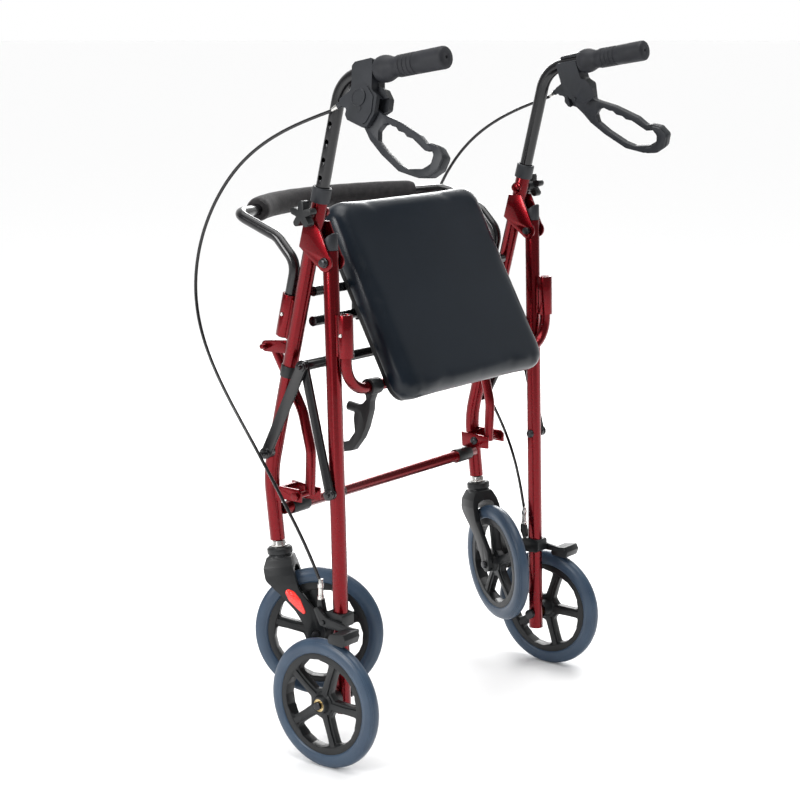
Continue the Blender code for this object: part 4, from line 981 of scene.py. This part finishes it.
def brake_cable(side, label):
    """Outer sleeve of the brake cable, with its ferrule and the end barrel that rides with the rear frame."""
    origin, along, down, out = grip_frame(side)
    start = origin + along * -70 + down * 40.8 + out * 6
    route = [start, origin + along * -79 + down * 44.4 + out * 6.2, origin + along * -96 + down * 49 + out * 7]
    table = ((268, 74, 905), (270, 120, 880), (272, 168, 848), (274, 226, 768), (275, 248, 700), (277, 250, 650),
             (279, 232, 592), (282, 186, 522), (286, 125, 452), (285, 80, 388), (275, 56, 340), (262, 39, 298),
             (258, 31, 268))
    # the right cable bows forward a little more than the left one
    bow = 14 if side > 0 else 0
    for x, y, z in table:
        route.append(Vector((side * x, y + bow * max(0, 1 - abs(z - 420) / 110), z)))
    route.append(Vector((side * 257, 29, 250)))
    run = smooth_route(route, 7)
    for _ in range(90):
        run = run[:3] + [run[k] * 0.5 + (run[k - 1] + run[k + 1]) * 0.25 for k in range(3, len(run) - 3)] + run[-3:]
    sleeve = sweep(run, 2.4, 5)
    name = "brake_cable_" + label
    sleeve.data.transform(TO_ROW)
    sleeve.name = name + "_skin"
    sleeve.data.materials.append(LOOKS["gloss_black"])
    sleeve.data.shade_smooth()
    sleeve.data.set_sharp_from_angle(angle=radians(50))
    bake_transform(sleeve)
    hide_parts(name)
    ferrule = [(0, -2), (3.4, -2), (3.6, 0), (3.6, 6), (3, 7), (3, 11), (0, 11)]
    settle(lathe(ferrule, start, route[1] - start, 8), "cable_ferrule_" + label, "steel", bevel=0.2,
           body=BODY_OF["brake_housing_" + label])
    barrel = [(0, -22), (4.9, -22), (4.9, -17.5), (4, -17), (4, -5), (4.7, -4.4), (4.7, 1), (3.4, 2), (3.4, 8),
              (0, 8)]
    settle(lathe(barrel, (side * 257, 29, 258), (0, 0, 1), 8), "cable_end_" + label, "steel", bevel=0.2,
           body="rear_frame")


def seat_pad():
    """Padded seat: rounded block, inflated a little under its vinyl skin, with a welt round its edge."""
    across = Vector((1, 0, 0))
    inset = 1.2
    layers = ((-7.4, 4, 23), (-6.6, 0.4, 26), (-3.5, -1.8, 28), (2, -2.6, 29), (10, -2.6, 29), (18, -2.4, 29),
              (22.5, -1, 28), (25.8, 1.6, 26), (27.8, 5.4, 23), (28.8, 10.6, 19))
    bm = bmesh.new()
    rings = []
    for height, shrink, radius in layers:
        total = inset + shrink
        w, low, high = SEAT_W / 2 - total, -SEAT_BELOW + total, SEAT_L - SEAT_BELOW - total
        outline = soften([(-w, low), (w, low), (w, high), (-w, high)], radius, 3)
        base = SEAT_BASE + SEAT_OUT * (BOARD_T + 0.4 + height)
        rings.append([bm.verts.new(base + across * a + SEAT_UP * b) for a, b in outline])
    bridge(bm, rings)
    close_ends(bm, rings)
    pad = raw_object(bm)
    pad.data.transform(TO_ROW)
    pad = inflate(pad, 0.0045, 4, 0.0035, SEAT_OUT)
    pad.name = "seat_pad_skin"
    pad.data.materials.clear()
    pad.data.materials.append(LOOKS["vinyl"])
    pad.data.shade_smooth()
    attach(pad, BODY_OF["seat_pad"])
    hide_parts("seat_pad")


def inflate(obj, voxel, pressure, cap, up):
    """Remesh and swell a pad with a short cloth run; no point moves further than cap metres."""
    modifier = obj.modifiers.new("voxels", "REMESH")
    modifier.mode = "VOXEL"
    modifier.voxel_size = voxel
    bake(obj, modifier)
    smooth = obj.modifiers.new("soft", "CORRECTIVE_SMOOTH")
    smooth.iterations = 6
    smooth.use_only_smooth = True
    bake(obj, smooth)
    rest = [v.co.copy() for v in obj.data.vertices]
    cloth = obj.modifiers.new("cloth", "CLOTH")
    cloth.settings.use_pressure = True
    cloth.settings.uniform_pressure_force = pressure
    cloth.settings.effector_weights.gravity = 0
    cloth.settings.quality = 5
    cloth.point_cache.frame_start = 1
    cloth.point_cache.frame_end = 20
    scene = bpy.context.scene
    for number in range(1, 21):
        scene.frame_set(number)
    bake(obj, cloth)
    scene.frame_set(1)
    for v, r in zip(obj.data.vertices, rest):
        shift = v.co - r
        # the back stays flat against the seat board
        if shift.dot(up) < 0:
            shift -= up * shift.dot(up)
        if shift.length > cap:
            shift *= cap / shift.length
        v.co = r + shift
    relax = obj.modifiers.new("relax", "SMOOTH")
    relax.factor = 0.5
    relax.iterations = 12
    bake(obj, relax)
    detail = obj.modifiers.new("detail", "SUBSURF")
    detail.levels = 1
    detail.render_levels = 1
    return obj


def backrest_pad():
    """Foam sleeve round the middle of the backrest bar, with soft rounded ends."""
    arch = [p for p in backrest_path() if abs(p.x) < 187]
    fine = smooth_route(arch, 6)
    count = len(fine) - 1
    bm = bmesh.new()
    rings = []
    sides = 40
    normal = Vector((0, 0, 1))
    for index, point in enumerate(fine):
        ahead = fine[min(index + 1, count)] - fine[max(index - 1, 0)]
        direction = ahead.normalized()
        side = direction.cross(normal).normalized()
        edge = min(index, count - index)
        radius = 17.6 if edge > 1 else (14.8, 17)[edge]
        ring = []
        for k in range(sides):
            a = 2 * pi * k / sides
            spot = point + (normal * cos(a) + side * sin(a)) * radius
            wobble = noise.noise(spot * 0.045) * 0.45
            ring.append(bm.verts.new(point + (normal * cos(a) + side * sin(a)) * (radius + wobble)))
        rings.append(ring)
    bridge(bm, rings)
    for ring, point, flip in ((rings[0], fine[0], True), (rings[-1], fine[-1], False)):
        inner = [bm.verts.new(point + (v.co - point).normalized() * 8.4) for v in ring]
        deep_point = point + (fine[4] - fine[0] if flip else fine[-5] - fine[-1]) * 0.3
        deep = [bm.verts.new(deep_point + (v.co - point)) for v in inner]
        for k in range(sides):
            n = (k + 1) % sides
            for a, b in ((ring, inner), (inner, deep)):
                quad = (a[k], b[k], b[n], a[n])
                bm.faces.new(quad if flip else quad[::-1])
        bm.faces.new(deep if flip else deep[::-1])
    pad = raw_object(bm)
    pad = settle(pad, "backrest_pad", "foam", bevel=0, angle=70, clean=0)


def leg_clip():
    """Small black clip on the left front leg, above the brace."""
    x = -SIDE_X
    a, b = on_front_leg(552), on_front_leg(568)
    ring = rod(xyz(x, a), xyz(x, b), FRAME_R + 1.6, 14)
    cut(ring, leg_rod(x, 540, 580, FRAME_R + 0.1, 14))
    settle(ring, "leg_clip", "black_plastic", bevel=0.4, body="frame")


def tube_sleeves():
    """Black sleeves on the ends of the lower cross tube."""
    for side, label in SIDES:
        ring = crossbar(side * (SIDE_X - 62), side * (SIDE_X - 26), CROSS_TUBE, 11.2, 14)
        cut(ring, crossbar(side * (SIDE_X - 90), side * (SIDE_X - 10), CROSS_TUBE, 8.7, 14))
        settle(ring, "cross_sleeve_" + label, "black_plastic", bevel=0.8, body="frame")


def caster_stem(side, label):
    """Plated stem of the caster, with its washer, between the leg and the fork's neck."""
    top, down, _, _, _ = caster_frame(side)
    profile = [(0, -10.6), (7, -10.6), (9.9, -10.2), (9.9, -4.4), (12, -4.2), (12, -1.9), (0, -1.9)]
    ring = lathe(profile, top, down, 16)
    settle(ring, "caster_stem_" + label, "steel", bevel=0.2, body=BODY_OF["caster_fork_" + label])


def brake_housing(side, label):
    """Two-part brake housing: plate-like outer shell, narrower inner block, plain round disc and cable horn."""
    origin, along, down, out = grip_frame(side)
    shell = [(-42, -9), (-37, -13.5), (-8, -14.5), (-6.6, -12), (-6.6, 29), (3, 37), (-1, 62), (-12, 76),
             (-20, 78.5), (-48, 64), (-52, 56), (-49, 47.5), (-58, 45), (-63, 38), (-62, 33), (-42, 24)]
    radii = [4, 3, 2, 2, 5, 5, 6, 5, 5, 5, 4, 4, 4, 3, 3, 12]
    inner = [(-42, -6), (-6.6, -6), (-5.6, 22), (3, 26), (11, 40), (9, 55), (-9, 62), (-34, 50), (-42, 30)]
    body = prism(soften(shell, radii, 1), origin + out * -2, along, down, out * 14.6)
    raised = [(-36, 22), (-14, 22), (-2.5, 38.5), (-5, 59.5), (-15, 72.5), (-20.5, 73.5), (-45.5, 60), (-47.5, 55),
              (-43, 42)]
    plate = prism(soften(raised, 4, 1), origin + out * 11, along, down, out * 3.2)
    block = prism(soften(inner, 3, 1), origin + out * -14, along, down, out * 13)
    disc = lathe([(0, 0), (12, 0), (12, 2.4), (11.4, 3), (10.4, 3), (10, 2.2), (0, 2.2)],
                 origin + along * -27 + down * 37 + out * 13.2, out, 16)
    horn = rod(origin + along * -57 + down * 36 + out * 6, origin + along * -70.5 + down * 41 + out * 6, 4.2, 10)
    unite(body, plate, block, disc, horn)
    cut(body, sweep([p for p in handle_path(side) if p.z > 930], HANDLE_R + 0.62, 9))
    slot = [(-44, 40), (14, 40), (21, 100), (-44, 100)]
    cut(body, prism(slot, origin + out * -5.6, along, down, out * 11.2))
    pivot, out = lever_pivot(side)
    for a, b in ((-15.4, -5), (5, 15)):
        unite(body, rod(pivot + out * a, pivot + out * b, 3.6, 8))
    settle(body, "brake_housing_" + label, "grey_plastic", bevel=1.1)


def brake_bracket(side, label):
    """Clamp on the rear leg with the rocker pin and the cable stop."""
    x = side * SIDE_X
    y0 = on_rear_leg(212)[0]
    outline = [(y0 - 13.5, 200), (y0 + 14, 199), (y0 + 26, 202), (y0 + 26, 213), (y0 + 14, 222), (y0 - 13.5, 220)]
    clamp = slab(soften(outline, 4, 1), x - side * 12.6, x + side * 13.5)
    arm = slab(soften([(y0 + 17, 206), (y0 + 24.5, 208), (33, 226), (33, 238), (26, 238), (22, 220)], 2, 1),
               x + side * 5, x + side * 13.4)
    pin = crossbar(x + side * 12, x + side * 22.5, BRAKE_PIVOT, 3, 6)
    unite(clamp, arm, pin)
    cut(clamp, rod(xyz(x, on_rear_leg(180)), xyz(x, on_rear_leg(240)), FRAME_R + 0.2, 14))
    settle(clamp, "brake_bracket_" + label, "black_plastic", bevel=0.6)


def bolt_heads(side, label):
    """Domed black bolt heads on the inboard faces."""
    dome = [(0, 0), (6.4, 0), (6.4, 1.6), (5.2, 3.6), (2.6, 4.6), (0, 4.8)]
    x = side * SIDE_X
    for name, place, body in (("brace_cap_", (x - side * (FRAME_R + 0.1), BRACE_REAR[0], BRACE_REAR[1]),
                               "rear_frame"), ("bracket_cap_", (x - side * 39.1, 96, 376), "frame")):
        settle(lathe(dome, place, (-side, 0, 0), 10), name + label, "dark_steel", bevel=0, body=body, angle=50)


def caster_fork(side, label):
    """Fork with a rounded, arched crown, two tapering arms and a ringed neck."""
    top, down, trail, across, centre = caster_frame(side)
    outline = [(-18, 12), (-22.5, 26), (-20.5, 44), (-1, 66), (19, 92), (33.2, 121)]
    outline += arc((CASTER_TRAIL, CASTER_DROP), 12.5, 165, 15, 4)
    outline += [(57.5, 106), (42, 84), (27, 60), (23, 38), (18, 12)]
    radii = [2, 10, 14, 12, 12, 3] + [0] * 13 + [3, 14, 14, 12, 2]
    body = prism(soften(outline, radii, 1), top - across * 26, trail, down, across * 52)
    half = [(13, 10), (17, 17), (21.5, 26), (24.2, 38), (24.6, 52), (23.2, 80), (23, 150)]
    arch = half + [(-a, b) for a, b in reversed(half)]
    combine(body, prism(soften(arch, 5, 2), top - trail * 60, across, down, trail * 140), "INTERSECT")
    room = [(0, -15.2), (95, -15.2), (99.5, -13.2), (103, -8), (104, 0), (103, 8), (99.5, 13.2), (95, 15.2),
            (0, 15.2)]
    cut(body, lathe(room, centre, across, 20))
    cut(body, rod(centre - across * 40, centre + across * 40, 4.4, 10))
    ring = lathe([(0, -9), (9.2, -9), (9.2, -1.5), (16, -1.5), (18.6, 1), (18.6, 8), (16, 11), (0, 11)], top, down)
    neck = lathe([(0, 9), (16, 9), (17.6, 13), (15, 19), (0, 22)], top, down)
    unite(body, ring, neck, rod(top - down * 42, top, 5, 12))
    settle(body, "caster_fork_" + label, "black_plastic")


# ---------------------------------------------------------------- build
for side, label in SIDES:
    front_leg(side, label)
    support_tube(side, label)
    collar(side, label)
    hinge_bolt(side, label)
    handle_tube(side, label)
    grip(side, label)
    brake_housing(side, label)
    brake_lever(side, label)
    clamp_knob(side, label)
    brake_cable(side, label)
    snap_button("back_button_" + label, xyz(side * (SIDE_X + SOCKET_SHIFT), on_front_leg(BUTTON_Z, SOCKET_AHEAD)),
                (side, 0, 0), 3, 13.6)
    rear_leg(side, label)
    rear_leg_cap(side, label)
    snap_button("seat_button_" + label, (side * SIDE_X, on_rear_leg(SEAT_BUTTON_Z)[0] - REAR_SOCKET, SEAT_BUTTON_Z),
                (side, 0, 0), 3, 13.4)
    rear_axle(side, label)
    brake_bracket(side, label)
    brake_arm(side, label)
    spring("brake_spring_" + label, (side * 256, 28, 226), (side * 256, 24, 210), 3.4, 0.6, 7, "rear_frame")
    wheel_centre = (side * WHEEL_X, AXLE[0], AXLE[1])
    tyre("rear_tyre_" + label, wheel_centre, (side, 0, 0))
    hub("rear_hub_" + label, wheel_centre, (side, 0, 0), (0, -1, 0), 25.5, 15.2, 4.3)
    caster_fork(side, label)
    caster_axle(side, label)
    caster_stem(side, label)
    reflector(side, label)
    top, down, trail, across, caster_centre = caster_frame(side)
    tyre("caster_tyre_" + label, caster_centre, across)
    hub("caster_hub_" + label, caster_centre, across, -down, 14.4, 14.4, 4.3)
    front_brace(side, label)
    rear_brace(side, label)
    bolt_heads(side, label)

lower_cross_tube()
tube_sleeves()
backrest_bar()
backrest_pad()
seat_bar()
knee_bar()
seat_board()
seat_pad()
seat_rails()
fold_hook()
leg_clip()


# ---------------------------------------------------------------- studio
LAMP_AIM = Vector((0, 0, 0.55))


def aimed(name, data, place, direction):
    obj = bpy.data.objects.new(name, data)
    obj.location = place
    obj.rotation_mode = "QUATERNION"
    obj.rotation_quaternion = direction.to_track_quat("-Z", "Y")
    bpy.context.scene.collection.objects.link(obj)
    return obj


def studio():
    scene = bpy.context.scene
    floor_mesh = bpy.data.meshes.new("floor")
    floor_mesh.from_pydata([(-90, -90, 0), (90, -90, 0), (90, 90, 0), (-90, 90, 0)], [], [(0, 1, 2, 3)])
    floor = bpy.data.objects.new("floor", floor_mesh)
    scene.collection.objects.link(floor)
    paint = Nodes("floor_paint", (0.94, 0.94, 0.94), 0, 0.8, 0.1)
    paint.vary_roughness(paint.noise(3), 0.75, 0.85)
    floor_mesh.materials.append(paint.material)
    # a studio cove: bright behind the walker, softer grey on the other sides
    world = bpy.data.worlds.new("studio")
    world.use_nodes = True
    tree = world.node_tree
    place = tree.nodes.new("ShaderNodeTexCoord")
    facing = tree.nodes.new("ShaderNodeVectorMath")
    facing.operation = "DOT_PRODUCT"
    facing.inputs[1].default_value = (0.79, 0.61, 0)
    spread = tree.nodes.new("ShaderNodeMapRange")
    spread.interpolation_type = "SMOOTHSTEP"
    spread.inputs["From Min"].default_value = 0.2
    spread.inputs["From Max"].default_value = 0.85
    spread.inputs["To Min"].default_value = 0.3
    spread.inputs["To Max"].default_value = 1
    tree.links.new(place.outputs["Generated"], facing.inputs[0])
    tree.links.new(facing.outputs["Value"], spread.inputs["Value"])
    tree.links.new(spread.outputs["Result"], tree.nodes["Background"].inputs["Strength"])
    tree.nodes["Background"].inputs["Color"].default_value = (1, 1, 1, 1)
    scene.world = world
    for name, place, size, power in (("left", (-3, 0.6, 1.7), 1.2, 62), ("top", (0.3, -0.4, 3.3), 2.4, 45),
                                     ("right", (2.6, 1.6, 1.6), 1.3, 45)):
        data = bpy.data.lights.new(name, "AREA")
        data.energy = power
        data.size = size
        aimed(name, data, Vector(place), LAMP_AIM - Vector(place))
    data = bpy.data.lights.new("overhead", "SUN")
    data.energy = 1.9
    data.angle = radians(70)
    scene.collection.objects.link(bpy.data.objects.new("overhead", data))
    camera_data = bpy.data.cameras.new("camera")
    camera_data.lens = 86.58
    camera_data.sensor_width = 36
    camera_data.clip_start = 0.05
    camera_data.clip_end = 60
    yaw, pitch = radians(51.98), radians(11.57)
    forward = Vector((sin(yaw) * cos(pitch), cos(yaw) * cos(pitch), -sin(pitch)))
    scene.camera = aimed("camera", camera_data, row((-2267, -1686.2, 1067.2)), forward)
    scene.view_settings.view_transform = "Standard"


studio()
